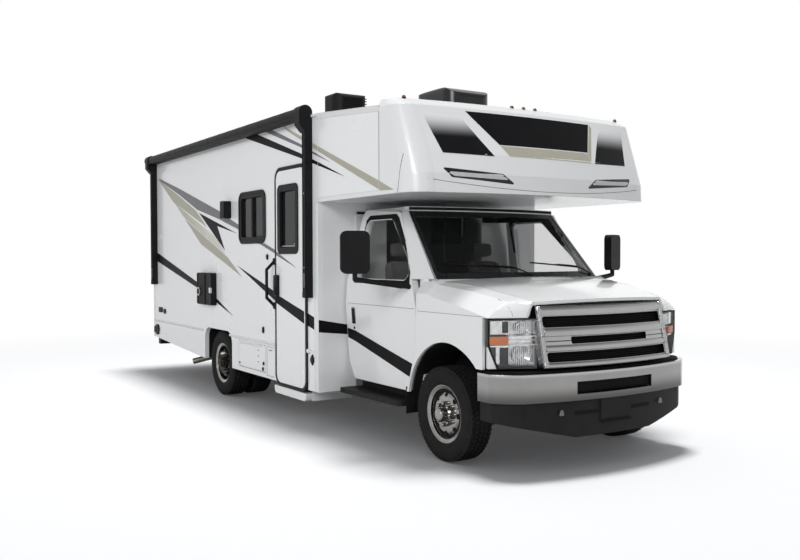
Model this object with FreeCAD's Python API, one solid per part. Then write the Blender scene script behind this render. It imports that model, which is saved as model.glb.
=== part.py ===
import FreeCAD, Part
import math
import os

from FreeCAD import Vector

# Motorhome on a van cutaway chassis, in millimetres.
# +X is forward, +Y is the driver's side, +Z is up. The origin is on the ground under the
# middle of the vehicle.

SIZES = (
    # Stance
    ("front_axle_x", 2840), ("wheelbase", 4013), ("axle_height", 368),
    ("front_wheel_y", 878), ("rear_wheel_outer_y", 1128), ("rear_wheel_inner_y", 854),
    # House envelope
    ("house_rear_x", -3647), ("house_front_x", 1318), ("house_half_width", 1268),
    ("wall_thickness", 50), ("roof_edge_height", 2858), ("roof_crown", 34),
    ("roof_front_drop", 84), ("cap_rear_x", 2372), ("overcab_height", 2065),
    ("skirt_rear_height", 490), ("skirt_arch_height", 379), ("skirt_front_height", 354),
    ("floor_height", 790), ("floor_thickness", 60), ("panel_gap", 6),
    # Rear wheel arch, measured from the rear axle
    ("arch_rear_reach", 460), ("arch_front_reach", 402), ("arch_top_height", 752),
    ("arch_corner_radius", 140),
    # Entry door
    ("entry_rear_x", 409), ("entry_front_x", 1106), ("entry_bottom", 320),
    ("entry_top", 2440), ("entry_corner_radius", 120), ("entry_frame_width", 30),
    ("entry_leaf_thickness", 45), ("entry_proud", 14), ("entry_window_rear_x", 502),
    ("entry_window_front_x", 925), ("entry_window_bottom", 1616),
    ("entry_window_top", 2256), ("entry_window_radius", 60),
    ("step_well_bottom", 245), ("step_clearance", 108), ("step_wall", 20),
    ("step_tread_height", 560), ("step_proud", 22), ("step_corner_radius", 45),
    # House windows
    ("window_rear_x", -506), ("window_front_x", 142), ("window_bottom", 1742),
    ("window_top", 2232), ("window_radius", 70), ("glass_thickness", 6),
    ("frame_width", 28), ("frame_proud", 12),
    # Baggage door
    ("baggage_rear_x", -585), ("baggage_front_x", 143), ("baggage_bottom", 402),
    ("baggage_top", 682), ("baggage_thickness", 40), ("baggage_radius", 18),
    # Bulkhead and bunk deck
    ("pass_half_width", 560), ("pass_bottom", 850), ("pass_drop", 105),
    ("bulkhead_low", 355), ("bulkhead_relief_half_width", 880),
    ("bulkhead_relief_top", 700), ("deck_thickness", 40),
    # Front cap
    ("cap_shell", 40), ("cap_bottom_x", 2884), ("cap_brow_x", 2876),
    ("cap_fold_x", 2822), ("cap_upper_x", 2672), ("cap_crown_x", 2590),
    ("cap_crown_height", 2812), ("cap_bow_low", 125), ("cap_bow_high", 70),
    ("cap_corner_low", 190), ("cap_corner_high", 150), ("cap_roof_inset", 20),
    ("marker_spacing", 126), ("marker_inset", 118), ("marker_radius", 16),
    ("marker_height", 22),
    # Roof units
    ("ac_rear_x", 1295), ("ac_front_x", 1930), ("ac_half_width", 240),
    ("ac_rise", 270), ("ac_sink", 78), ("vent_rear_x", 730), ("vent_front_x", 1090),
    ("vent_y", 765), ("vent_half_width", 175), ("vent_rise", 268), ("vent_sink", 18),
    # Awning
    ("awning_radius", 55), ("awning_reach", 64), ("awning_lift", 18),
    ("awning_rear_x", -3600), ("awning_front_x", 1211), ("awning_arm_width", 64),
    ("awning_arm_depth", 72), ("awning_arm_bottom", 1205), ("awning_cap", 18),
    ("awning_rail", 24), ("awning_head_width", 134), ("awning_head_radius", 66),
    ("awning_head_drop", 176),
    # Side fittings
    ("furnace_rear_x", -1715), ("furnace_front_x", -1234), ("furnace_bottom", 1022),
    ("furnace_top", 1392), ("furnace_proud", 60), ("porch_rear_x", -880),
    ("porch_front_x", -766), ("porch_bottom", 2000), ("porch_top", 2188),
    ("porch_proud", 88), ("handle_bottom", 1090), ("handle_top", 1536),
    ("handle_x", 372), ("handle_reach", 85), ("handle_radius", 15),
    # Rear
    ("bumper_rear_x", -3710), ("rear_bumper_bottom", 376), ("rear_bumper_top", 476),
    ("rear_bumper_depth", 90), ("rear_bumper_half_width", 1190),
    ("receiver_outer", 76), ("receiver_inner", 51), ("receiver_length", 260),
    ("lamp_bottom", 860), ("lamp_top", 1180), ("lamp_width", 150), ("lamp_proud", 34),
    ("lamp_y", 1070),
    # Frame
    ("rail_half_width", 432), ("rail_flange", 70), ("rail_web", 8), ("rail_height", 170),
    ("rail_low", 430), ("rail_high", 570), ("rail_front_x", 3560), ("rail_kick_start", 250),
    ("rail_kick_end", -350), ("crossmember_width", 70), ("outrigger_width", 50),
    ("outrigger_height", 60), ("outrigger_reach", 780),
    ("engine_rear_x", 2604), ("engine_front_x", 3255), ("engine_half_width", 320),
    ("engine_bottom", 500), ("engine_top", 1060), ("engine_shoulder", 820),
    ("gearbox_rear_x", 1660), ("gearbox_radius", 140), ("gearbox_tail_radius", 48),
    ("gearbox_height", 472), ("shaft_radius", 38), ("nose_radius", 72),
    ("tank_rear_x", -2880), ("tank_front_x", -1860), ("tank_half_width", 330),
    ("tank_bottom", 356), ("tank_top", 690), ("tank_radius", 60),
    ("pipe_radius", 36), ("pipe_start_y", -205), ("pipe_low", 385), ("pipe_inner_y", -330),
    ("pipe_cross_x", 1100), ("muffler_radius", 105), ("muffler_front_x", 620),
    ("muffler_rear_x", -60), ("pipe_y", -585), ("pipe_height", 450),
    ("pipe_axle_height", 560), ("tail_x", -2340), ("tail_y", -1165), ("tail_height", 262),
    # Front suspension
    ("kingpin_y", 800), ("beam_height", 78), ("beam_width", 58),
    ("beam_low", 296), ("yoke_height", 150), ("knuckle_width", 70),
    ("arm_length", 900), ("spring_radius", 58), ("spring_y", 560), ("spring_top", 640),
    ("knuckle_height", 230), ("fit_gap", 0.3),
    # Rear suspension
    ("axle_tube_radius", 52), ("diff_radius", 150), ("drum_radius", 150),
    ("leaf_half_length", 720), ("leaf_width", 64), ("leaf_pack", 56), ("leaf_y", 397),
    ("leaf_thickness", 16), ("hanger_width", 60),
    # Wheels and tyres
    ("tyre_radius", 368), ("tyre_half_width", 112), ("tyre_bore", 206),
    ("tyre_shoulder", 350), ("tyre_tread_half_width", 90), ("tyre_bulge_radius", 290),
    ("rim_half_width", 90), ("rim_flange_radius", 224), ("rim_barrel_radius", 194),
    ("rim_flange", 9), ("disc_thickness", 12), ("front_disc_offset", 46),
    ("front_disc_dish", 26), ("hand_hole_radius", 21), ("hand_hole_circle", 152),
    ("lug_circle", 82.5), ("lug_radius", 13), ("lug_height", 34), ("hub_radius", 62),
    ("front_hub_reach", 148), ("hub_cap_radius", 50), ("rear_hub_reach", 100),
    ("hub_bore", 34), ("hub_back", 34),
    # Cab
    ("cab_half_width", 1004), ("cab_floor", 620), ("cab_skin", 30),
    ("cab_sill", 500), ("cab_sill_width", 110), ("firewall_x", 2560), ("toe_x", 2425),
    ("toe_height", 900),
    ("post_low_x", 2400), ("post_high_x", 2440), ("post_width", 45),
    ("belt_height", 1372), ("belt_y", 985), ("cab_roof_drop", 55),
    ("cab_roof_y", 846), ("header_height", 38), ("shoulder_height", 1160),
    ("tuck_height", 470), ("tuck_y", 955),
    ("door_rear_x", 1344), ("door_front_x", 2496), ("door_bottom", 478),
    ("door_drop", 109), ("door_rear_drop", 65), ("door_thickness", 60),
    ("door_front_top_x", 2064), ("door_front_low_x", 2354),
    ("door_kick_x", 2472), ("door_kick_height", 800),
    ("door_gap", 9), ("door_pin_radius", 4.9), ("door_pin_length", 10), ("cowl_x", 2640),
    ("cowl_height", 1380),
    ("pillar_width", 80),
    ("screen_bottom_x", 2596), ("screen_bottom_y", 884), ("screen_bottom_z", 1397),
    ("screen_top_x", 2090), ("screen_top_y", 805), ("screen_drop", 99),
    ("screen_bow", 120), ("screen_thickness", 8),
    # Front end
    ("fender_front_x", 3402), ("fender_skin", 26), ("fender_tip_x", 3515),
    ("fender_rear_run", 75), ("fender_rear_fall", 110), ("fender_middle_run", 130),
    ("fender_middle_fall", 130), ("fender_front_run", 187), ("fender_front_fall", 140),
    ("fender_tip_run", 44), ("fender_tip_fall", 114), ("hood_pin_radius", 8),
    ("hood_pin_length", 86),
    ("front_arch_radius", 512), ("front_arch_x", 2902), ("front_arch_height", 413),
    ("fender_bottom", 484), ("fender_nose_height", 764),
    ("hood_front_x", 3520), ("hood_front_height", 1250), ("hood_rear_y", 870),
    ("hood_front_y", 655), ("hood_skin", 24), ("hood_crown_rear", 30),
    ("hood_crown_front", 14), ("hood_bow_rear", 112), ("hood_bow_front", 66), ("hood_mid_rise", 22),
    ("grille_top_x", 3524), ("grille_bottom_x", 3625), ("grille_half_width", 650),
    ("grille_top_height", 1221), ("grille_bottom_height", 781), ("grille_bow", 70),
    ("grille_depth", 60), ("lamp_corner", 40), ("slot_half_width", 610),
    ("slot_top_low", 1066), ("slot_top_high", 1145), ("slot_middle_half_width", 393),
    ("slot_middle_low", 944), ("slot_middle_high", 995), ("slot_bottom_low", 820),
    ("slot_bottom_high", 889),
    ("head_outer_x", 3402), ("head_outer_y", 987), ("head_inner_x", 3550),
    ("head_chamfer_y", 916), ("head_chamfer_height", 948),
    ("head_top", 1132), ("head_bottom", 772), ("head_back_x", 3350),
    ("support_thickness", 30), ("support_half_width", 920), ("support_top", 1110),
    ("support_opening", 540), ("support_opening_low", 650), ("support_opening_top", 1070),
    ("hinge_radius", 5.7),
    ("bumper_front_x", 3710), ("bumper_end_x", 3300), ("bumper_half_width", 1000),
    ("bumper_bottom", 536), ("bumper_top", 742), ("bumper_skin", 34),
    ("bumper_corner_x", 3500), ("bumper_corner_y", 952), ("bumper_start_x", 3430),
    ("bumper_turn_x", 3600), ("bumper_turn_y", 825), ("bumper_slot_half_width", 388),
    ("bumper_slot_low", 583),
    ("bumper_slot_high", 673), ("valance_end_height", 399), ("valance_low", 266),
    ("valance_skin", 30), ("valance_inset", 26), ("plate_half_width", 155),
    ("plate_low", 352), ("plate_thickness", 16),
    ("plate_hole_spacing", 178), ("plate_hole_radius", 3.5), ("plate_hole_height", 510),
    # Cab fittings
    ("mirror_x", 2270), ("mirror_y", 1429), ("mirror_z", 1613), ("mirror_width", 232),
    ("mirror_height", 341), ("mirror_depth", 72), ("mirror_radius", 50), ("mirror_sweep", 22),
    ("mirror_arm_radius", 20), ("mirror_arm_spread", 120), ("mirror_stem", 44),
    ("board_rear_x", 1380), ("board_front_x", 2340), ("board_outer_y", 1100),
    ("board_inner_y", 850), ("board_height", 400), ("board_thickness", 40),
    ("dash_front_x", 2560), ("dash_rear_x", 2230), ("dash_low", 960), ("dash_top", 1330),
    ("dash_half_width", 830), ("wheel_x", 2110), ("wheel_y", 455), ("wheel_z", 1230),
    ("wheel_radius", 195), ("wheel_rim_radius", 16), ("wheel_tilt", 28),
    ("seat_x", 1480), ("seat_y", 470), ("seat_width", 500), ("seat_length", 500),
    ("seat_base_height", 280), ("seat_cushion", 140), ("seat_back_height", 640),
    ("seat_back_thickness", 130), ("seat_back_lean", 14), ("headrest_width", 270),
    ("headrest_height", 170), ("headrest_thickness", 100),
)

os.makedirs("parts", exist_ok=True)
doc = FreeCAD.newDocument("motorhome")
sheet = doc.addObject("Spreadsheet::Sheet", "Sizes")
for row, (alias, value) in enumerate(SIZES, start=1):
    sheet.set("A%d" % row, alias)
    sheet.set("B%d" % row, str(value))
    sheet.setAlias("B%d" % row, alias)
doc.recompute()


class SheetSizes:
    """Sizes read from the sheet by their alias."""

    def __getattr__(self, alias):
        return float(sheet.get(alias))


size = SheetSizes()
rear_axle_x = size.front_axle_x - size.wheelbase
wall_inner_y = size.house_half_width - size.wall_thickness
floor_top = size.floor_height + size.floor_thickness
wall_top = size.roof_edge_height - size.wall_thickness
pass_top = size.overcab_height - size.pass_drop
cab_roof_height = size.overcab_height - size.cab_roof_drop
door_top = size.overcab_height - size.door_drop
door_rear_top = size.overcab_height - size.door_rear_drop
screen_top_z = size.overcab_height - size.screen_drop
step_inner_y = size.pipe_y - size.muffler_radius - size.step_clearance


# Shapes

def block(x_range, y_range, z_range):
    """Box between two values along each axis."""
    low = Vector(min(x_range), min(y_range), min(z_range))
    high = Vector(max(x_range), max(y_range), max(z_range))
    span = high - low
    return Part.makeBox(span.x, span.y, span.z, low)


def rounded_face(corners, place):
    """Face through corners (u, v, radius); place turns a flat point into a 3-D one."""
    points = [Vector(u, v, 0) for u, v, _ in corners]
    rounds = []
    for index, (_, _, radius) in enumerate(corners):
        corner = points[index]
        back = (points[index - 1] - corner).normalize()
        ahead = (points[(index + 1) % len(points)] - corner).normalize()
        if radius == 0:
            rounds.append((corner, None, corner))
            continue
        half_angle = back.getAngle(ahead) / 2
        run = radius / math.tan(half_angle)
        middle = (back + ahead).normalize() * (radius / math.sin(half_angle) - radius)
        rounds.append((corner + back * run, corner + middle, corner + ahead * run))
    edges = []
    for index, (start, middle, end) in enumerate(rounds):
        if middle is not None:
            edges.append(Part.Arc(place(start), place(middle), place(end)).toShape())
        following = rounds[(index + 1) % len(rounds)][0]
        if (following - end).Length > size.fit_gap:
            edges.append(Part.makeLine(place(end), place(following)))
    return Part.Face(Part.Wire(edges))


def side_plate(corners, y_range):
    """Outline in the side view, as thick as y_range."""
    face = rounded_face(corners, lambda p: Vector(p.x, min(y_range), p.y))
    return face.extrude(Vector(0, max(y_range) - min(y_range), 0))


def front_plate(corners, x_range):
    """Outline in the front view (y, z), as thick as x_range."""
    face = rounded_face(corners, lambda p: Vector(min(x_range), p.x, p.y))
    return face.extrude(Vector(max(x_range) - min(x_range), 0, 0))


def flat_plate(corners, z_range):
    """Outline seen from above, as thick as z_range."""
    face = rounded_face(corners, lambda p: Vector(p.x, p.y, min(z_range)))
    return face.extrude(Vector(0, 0, max(z_range) - min(z_range)))


def rectangle(u_range, v_range, radius=0):
    """Corners of a rectangle, all with one radius."""
    u_low, u_high = min(u_range), max(u_range)
    v_low, v_high = min(v_range), max(v_range)
    return ((u_low, v_low, radius), (u_high, v_low, radius),
            (u_high, v_high, radius), (u_low, v_high, radius))


def cylinder(start, end, radius):
    axis = end - start
    return Part.makeCylinder(radius, axis.Length, start, axis)


def tube_path(points, radius):
    """Round bar along straight runs, with a ball at each corner."""
    bar = None
    for start, end in zip(points, points[1:]):
        run = cylinder(start, end, radius)
        bar = run if bar is None else bar.fuse(run)
    for corner in points[1:-1]:
        bar = bar.fuse(Part.makeSphere(radius, corner))
    return bar.removeSplitter()


def turned(profile, centre):
    """Solid turned about the Y axis through centre; profile holds (y, radius)."""
    points = [centre + Vector(0, y, radius) for y, radius in profile]
    face = Part.Face(Part.makePolygon(points + points[:1]))
    return face.revolve(centre, Vector(0, 1, 0), 360)


def mirrored(shape):
    """The same shape on the other side of the vehicle."""
    return shape.mirror(Vector(0, 0, 0), Vector(0, 1, 0))


def both_sides(shape):
    return Part.makeCompound([shape, mirrored(shape)])


def around(shape, centre, count):
    """Copies of shape turned about the Y axis through centre."""
    copies = []
    for index in range(count):
        copy = shape.copy()
        copy.rotate(centre, Vector(0, 1, 0), 360 * index / count)
        copies.append(copy)
    return copies


def arc_edge(start, middle, end):
    return Part.Arc(start, middle, end).toShape()


def add_part(name, shape):
    """Put a finished shape in the document under its own label."""
    part = doc.addObject("Part::Feature", name)
    part.Label = name
    part.Shape = shape
    return part


# Wheels and tyres

def make_tyre(centre):
    """Solid ring with rounded walls; its bore rests on the rim's seat."""
    half, tread = size.tyre_half_width, size.tyre_tread_half_width
    gap = size.fit_gap
    bead, bore = size.rim_half_width - size.rim_flange - gap, size.tyre_bore + gap
    lip = size.rim_flange_radius + gap
    shoulder = (size.tyre_radius + size.tyre_shoulder) / 2
    flat = tread * tread / half

    def at(y, radius):
        return centre + Vector(0, y, radius)

    walls = []
    for side in (-1, 1):
        wall = Part.BSplineCurve()
        wall.interpolate([at(side * bead, lip), at(side * half, size.tyre_bulge_radius),
                          at(side * tread, shoulder), at(side * flat, size.tyre_radius)])
        walls.append(wall.toShape())
    edges = [Part.makeLine(at(-bead, bore), at(-bead, lip)), walls[0],
             Part.makeLine(at(-flat, size.tyre_radius), at(flat, size.tyre_radius)), walls[1],
             Part.makeLine(at(bead, lip), at(bead, bore)),
             Part.makeLine(at(bead, bore), at(-bead, bore))]
    outline = Part.Wire(Part.__sortEdges__(edges))
    return Part.Face(outline).revolve(centre, Vector(0, 1, 0), 360)


def make_barrel(centre):
    """Rim barrel with a flange at each end."""
    half, flange = size.rim_half_width, size.rim_flange
    seat, lip, inside = size.tyre_bore, size.rim_flange_radius, size.rim_barrel_radius
    profile = ((-half, lip), (flange - half, lip), (flange - half, seat),
               (half - flange, seat), (half - flange, lip), (half, lip),
               (half, lip - flange), (half - flange, inside), (flange - half, inside),
               (-half, lip - flange))
    return turned(profile, centre)


def drill_disc(disc, centre, reach):
    """Hand holes through a wheel disc."""
    hole_centre = centre + Vector(0, 0, size.hand_hole_circle)
    hole = cylinder(hole_centre - Vector(0, reach, 0), hole_centre + Vector(0, reach, 0),
                    size.hand_hole_radius)
    return disc.cut(Part.makeCompound(around(hole, centre, 8)))


def make_lugs(centre, outward, face_y):
    base = centre + Vector(0, face_y, size.lug_circle)
    tip = base + Vector(0, outward * size.lug_height, 0)
    return around(cylinder(base, tip, size.lug_radius), centre, 8)


def make_front_rim(centre, outward):
    """Front wheel: its disc bulges outward and the hub stands out of it."""
    edge = outward * size.front_disc_offset
    crown = outward * (size.front_disc_offset + size.front_disc_dish)
    thick = outward * size.disc_thickness
    inside, hub = size.rim_barrel_radius, size.hub_radius
    reach = outward * size.front_hub_reach
    disc = turned(((edge, inside), (crown, size.lug_circle + hub), (crown, 0),
                   (crown - thick, 0), (crown - thick, size.lug_circle + hub),
                   (edge - thick, inside)), centre)
    disc = drill_disc(disc, centre, size.tyre_half_width)
    cap = size.hub_cap_radius
    hub_body = turned(((-outward * size.hub_back, 0), (-outward * size.hub_back, hub),
                       (crown, hub), (crown + thick, cap), (reach - thick, cap),
                       (reach, cap - size.disc_thickness), (reach, 0)), centre)
    bore_start = centre - Vector(0, outward * size.tyre_half_width, 0)
    bore = cylinder(bore_start, centre + Vector(0, edge, 0), size.hub_bore)
    shape = make_barrel(centre).fuse([disc, hub_body] + make_lugs(centre, outward, crown))
    return shape.cut(bore).removeSplitter()


def make_rear_rims(outer_centre, inner_centre, outward):
    """Dual wheels: the two discs meet between the tyres, so the outer one is deep."""
    middle = (outer_centre + inner_centre) * (1 / 2)
    thick = size.disc_thickness
    edge = (outer_centre - middle).Length - size.rim_half_width + size.rim_flange
    inside = size.rim_barrel_radius
    flat = size.lug_circle + size.hub_radius
    pieces = []
    for centre, side in ((outer_centre, outward), (inner_centre, -outward)):
        disc = turned(((0, 0), (0, flat), (side * edge, inside),
                       (side * (edge + thick), inside), (side * thick, flat),
                       (side * thick, 0)), middle)
        pieces.append(make_barrel(centre))
        pieces.append(drill_disc(disc, middle, size.tyre_half_width))
    reach = outward * size.rear_hub_reach
    hub, cap = size.hub_radius, size.hub_cap_radius
    back = outward * size.hub_back
    pieces.append(turned(((-back, 0), (-back, hub), (outward * thick, hub),
                          (outward * thick, cap), (reach, cap), (reach, 0)), middle))
    pieces += make_lugs(middle, outward, outward * thick)
    shape = pieces[0].fuse(pieces[1:])
    bore = cylinder(middle - Vector(0, outward * size.tyre_half_width, 0), middle, size.hub_bore)
    return shape.cut(bore).removeSplitter()


def make_wheels():
    for side, outward in (("left", 1), ("right", -1)):
        front = Vector(size.front_axle_x, outward * size.front_wheel_y, size.axle_height)
        outer = Vector(rear_axle_x, outward * size.rear_wheel_outer_y, size.axle_height)
        inner = Vector(rear_axle_x, outward * size.rear_wheel_inner_y, size.axle_height)
        add_part("tyre_front_" + side, make_tyre(front))
        add_part("rim_front_" + side, make_front_rim(front, outward))
        add_part("tyres_rear_" + side, Part.makeCompound([make_tyre(outer), make_tyre(inner)]))
        add_part("rims_rear_" + side, make_rear_rims(outer, inner, outward))


# Chassis

def rail_outline(inset):
    """Side view of a frame rail, which kicks up over the rear axle."""
    low, high, tall = size.rail_low, size.rail_high, size.rail_height
    rear = size.house_rear_x + size.wall_thickness
    return ((size.rail_front_x, low + inset, 0), (size.rail_front_x, low + tall - inset, 0),
            (size.rail_kick_start, low + tall - inset, 0),
            (size.rail_kick_end, high + tall - inset, 0), (rear, high + tall - inset, 0),
            (rear, high + inset, 0), (size.rail_kick_end, high + inset, 0),
            (size.rail_kick_start, low + inset, 0))


def make_chassis_frame():
    outer, flange, web = size.rail_half_width, size.rail_flange, size.rail_web
    rail = side_plate(rail_outline(0), (outer - flange, outer))
    rail = rail.cut(side_plate(rail_outline(web), (outer - flange, outer - web)))
    rails = [rail, mirrored(rail)]
    reach = outer - web
    members = []
    low, high, tall = size.rail_low, size.rail_high, size.rail_height
    for x, base in ((size.rail_front_x - size.crossmember_width, low),
                    (size.firewall_x - size.arm_length, low), (size.rail_kick_start, low),
                    (size.rail_kick_end - size.leaf_half_length, high),
                    (size.tank_front_x, high), (size.tank_rear_x, high),
                    (size.house_rear_x + size.wall_thickness, high)):
        top = base + tall - web
        bottom = top - size.crossmember_width
        if size.tank_rear_x <= x <= size.tank_front_x:
            bottom = size.tank_top
        members.append(block((x, x + size.crossmember_width), (-reach, reach), (bottom, top)))
    engine_x = size.front_axle_x
    members.append(block((engine_x - size.crossmember_width * 2, engine_x + size.crossmember_width * 2),
                         (-reach, reach), (low, size.engine_bottom)))
    frame = rails[0].fuse(rails[1:] + members)
    outriggers = []
    for x, top_of_rail in ((size.house_front_x - size.outrigger_width * 2, low + tall),
                           (size.rail_kick_start + size.leaf_half_length / 2, low + tall),
                           (size.rail_kick_end - size.outrigger_width, high + tall),
                           (size.tank_front_x + size.crossmember_width * 2, high + tall),
                           (size.tank_rear_x - size.crossmember_width * 4, high + tall)):
        x_range = (x, x + size.outrigger_width)
        top = size.floor_height
        outriggers.append(block(x_range, (-outer, outer),
                                (top_of_rail, top)))
        gusset = front_plate(((outer, top_of_rail - tall / 2, 0), (outer, top, 0),
                              (size.outrigger_reach, top, 0),
                              (size.outrigger_reach, top - size.outrigger_height, 0)), x_range)
        outriggers += [gusset, mirrored(gusset)]
    frame = frame.fuse(outriggers)
    add_part("chassis_frame", frame.removeSplitter())


def make_driveline():
    rear, front = size.engine_rear_x, size.engine_front_x
    half, shoulder = size.engine_half_width, size.engine_shoulder
    sump = half * 2 / 3
    engine = front_plate(((-sump, size.engine_bottom, 0), (sump, size.engine_bottom, 0),
                          (half, shoulder, 0), (sump, size.engine_top, 0),
                          (-sump, size.engine_top, 0), (-half, shoulder, 0)), (rear, front))
    add_part("engine_block", engine)
    height = size.gearbox_height
    nose = size.gearbox_rear_x + (rear - size.gearbox_rear_x) / 2
    gearbox = cylinder(Vector(nose, 0, height), Vector(rear, 0, height), size.gearbox_radius)
    tail = cylinder(Vector(size.gearbox_rear_x, 0, height), Vector(nose, 0, height),
                    size.gearbox_tail_radius)
    shaft_end = Vector(rear_axle_x + size.diff_radius, 0, size.axle_height)
    shaft = cylinder(shaft_end, Vector(size.gearbox_rear_x, 0, height), size.shaft_radius)
    joint = Part.makeSphere(size.gearbox_tail_radius, Vector(size.gearbox_rear_x, 0, height))
    shape = gearbox.fuse([tail, shaft, joint])
    keep_off = Part.makeSphere(size.diff_radius, Vector(rear_axle_x, 0, size.axle_height))
    add_part("driveline", shape.cut(keep_off).removeSplitter())


def make_fuel_tank():
    tank = front_plate(rectangle((-size.tank_half_width, size.tank_half_width),
                                 (size.tank_bottom, size.tank_top), size.tank_radius),
                       (size.tank_rear_x, size.tank_front_x + size.crossmember_width))
    add_part("fuel_tank", tank)


def make_exhaust():
    y, z = size.pipe_y, size.pipe_height
    low, inner = size.pipe_low, size.pipe_inner_y
    start = Vector(size.engine_rear_x, size.pipe_start_y, size.engine_bottom + size.pipe_radius)
    up = size.pipe_axle_height
    reach = size.leaf_half_length / 2
    route = [start, Vector(size.firewall_x - reach / 2, inner, low),
             Vector(size.gearbox_rear_x, inner, low), Vector(size.pipe_cross_x, y, low),
             Vector(size.muffler_front_x, y, z),
             Vector(size.muffler_rear_x, y, z), Vector(rear_axle_x + reach, y, up),
             Vector(rear_axle_x - reach, y, up),
             Vector((rear_axle_x + size.tail_x) / 2 - reach / 2, y, z),
             Vector(size.tail_x, size.tail_y, size.tail_height)]
    pipe = tube_path(route, size.pipe_radius)
    muffler = cylinder(Vector(size.muffler_front_x, y, z), Vector(size.muffler_rear_x, y, z),
                       size.muffler_radius)
    strap_x = size.rail_kick_start + size.leaf_half_length / 2
    strap = block((strap_x, strap_x + size.outrigger_width), (y - size.rail_web, y + size.rail_web),
                  (z, size.floor_height))
    top_strap_x = size.tank_front_x + size.crossmember_width * 2
    tail_strap = block((top_strap_x, top_strap_x + size.outrigger_width),
                       (y - size.rail_web, y + size.rail_web),
                       (z, size.floor_height))
    shape = pipe.fuse([muffler, strap, tail_strap])
    shape = shape.cut([doc.getObject("chassis_frame").Shape, doc.getObject("engine_block").Shape])
    add_part("exhaust", max(shape.Solids, key=lambda solid: solid.Volume))


def make_front_axle():
    """Two crossed beams with a yoke at each end, trailing arms and coil springs."""
    x, low, tall = size.front_axle_x, size.beam_low, size.beam_height
    yoke_y = size.kingpin_y - size.knuckle_width / 2
    lift = size.yoke_height / 2
    beams = []
    for offset, mirror in ((0, False), (-size.beam_width - size.panel_gap, True)):
        x_range = (x + offset, x + offset + size.beam_width)
        beam = front_plate(((yoke_y, size.axle_height - lift, 0), (yoke_y, size.axle_height + lift, 0),
                            (yoke_y - size.beam_width, size.axle_height + lift, 0),
                            (size.spring_y, low + tall, 0), (0, low + tall, 0),
                            (-size.rail_half_width + size.rail_flange, size.rail_low, 0),
                            (-size.rail_half_width, size.rail_low, 0),
                            (-size.rail_half_width, size.rail_low - tall, 0), (0, low, 0),
                            (size.spring_y, low, 0)), x_range)
        beams.append(mirrored(beam) if mirror else beam)
    inner = size.spring_y - size.beam_width / 2
    arm = side_plate(((x - size.beam_width, low, 0), (x + size.beam_width, low, 0),
                      (x + size.beam_width, low + tall, 0), (x - size.beam_width, low + tall, 0),
                      (x - size.arm_length, size.rail_low, 0),
                      (x - size.arm_length - tall, size.rail_low, 0),
                      (x - size.arm_length - tall, size.rail_low - tall / 2, 0)),
                     (inner - size.beam_width, inner))
    seat = Vector(x, size.spring_y, low + tall)
    tower_low = size.spring_top
    spring = cylinder(seat, Vector(x, size.spring_y, tower_low), size.spring_radius)
    tower = block((x - size.spring_radius, x + size.spring_radius),
                  (size.rail_half_width, size.spring_y + size.spring_radius),
                  (tower_low, tower_low + size.rail_web * 2))
    web = block((x - size.spring_radius, x + size.spring_radius),
                (size.rail_half_width, size.rail_half_width + size.rail_web),
                (size.rail_low + size.rail_height / 2, tower_low + size.rail_web))
    bracket = block((x - size.arm_length - tall, x - size.arm_length),
                    (size.rail_half_width, inner), (size.rail_low - tall / 2, size.rail_low + tall))
    corner = [spring, tower, web, arm, bracket]
    pieces = beams + corner + [mirrored(piece) for piece in corner]
    add_part("front_axle", pieces[0].fuse(pieces[1:]).removeSplitter())


def make_knuckle(outward):
    x, y, z = size.front_axle_x, size.kingpin_y, size.axle_height
    width, half = size.knuckle_width, size.knuckle_height / 2
    body = cylinder(Vector(x, y, z - half), Vector(x, y, z + half), width / 2 - size.fit_gap)
    slab = block((x - width, x + width), (y + width / 4, y + width / 2),
                 (z - half / 2, z + half / 2))
    end_y = size.front_wheel_y + size.front_disc_offset - size.fit_gap
    spindle = cylinder(Vector(x, y, z), Vector(x, end_y, z), size.hub_bore - size.fit_gap)
    disc_y = size.front_wheel_y - size.hub_back - size.disc_thickness
    disc = cylinder(Vector(x, y + width / 2, z), Vector(x, disc_y, z), size.hub_radius)
    shape = body.fuse([slab, spindle, disc]).removeSplitter()
    return shape if outward > 0 else mirrored(shape)


def make_rear_axle():
    x, z = rear_axle_x, size.axle_height
    middle_y = (size.rear_wheel_outer_y + size.rear_wheel_inner_y) / 2
    drum_y = middle_y - size.hub_back - size.disc_thickness
    inner = size.rear_wheel_inner_y - size.rim_half_width / 2
    tube = cylinder(Vector(x, -drum_y, z), Vector(x, drum_y, z), size.axle_tube_radius)
    half = [cylinder(Vector(x, inner, z), Vector(x, drum_y, z), size.drum_radius),
            cylinder(Vector(x, drum_y, z), Vector(x, middle_y - size.fit_gap, z),
                     size.hub_bore - size.fit_gap)]
    nose = cylinder(Vector(x, 0, z), Vector(x + size.diff_radius, 0, z), size.nose_radius)
    ball = Part.makeSphere(size.diff_radius, Vector(x, 0, z))
    pieces = half + [mirrored(piece) for piece in half] + [ball, nose]
    shape = tube.fuse(pieces).cut(doc.getObject("driveline").Shape)
    add_part("rear_axle", shape.removeSplitter())


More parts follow.
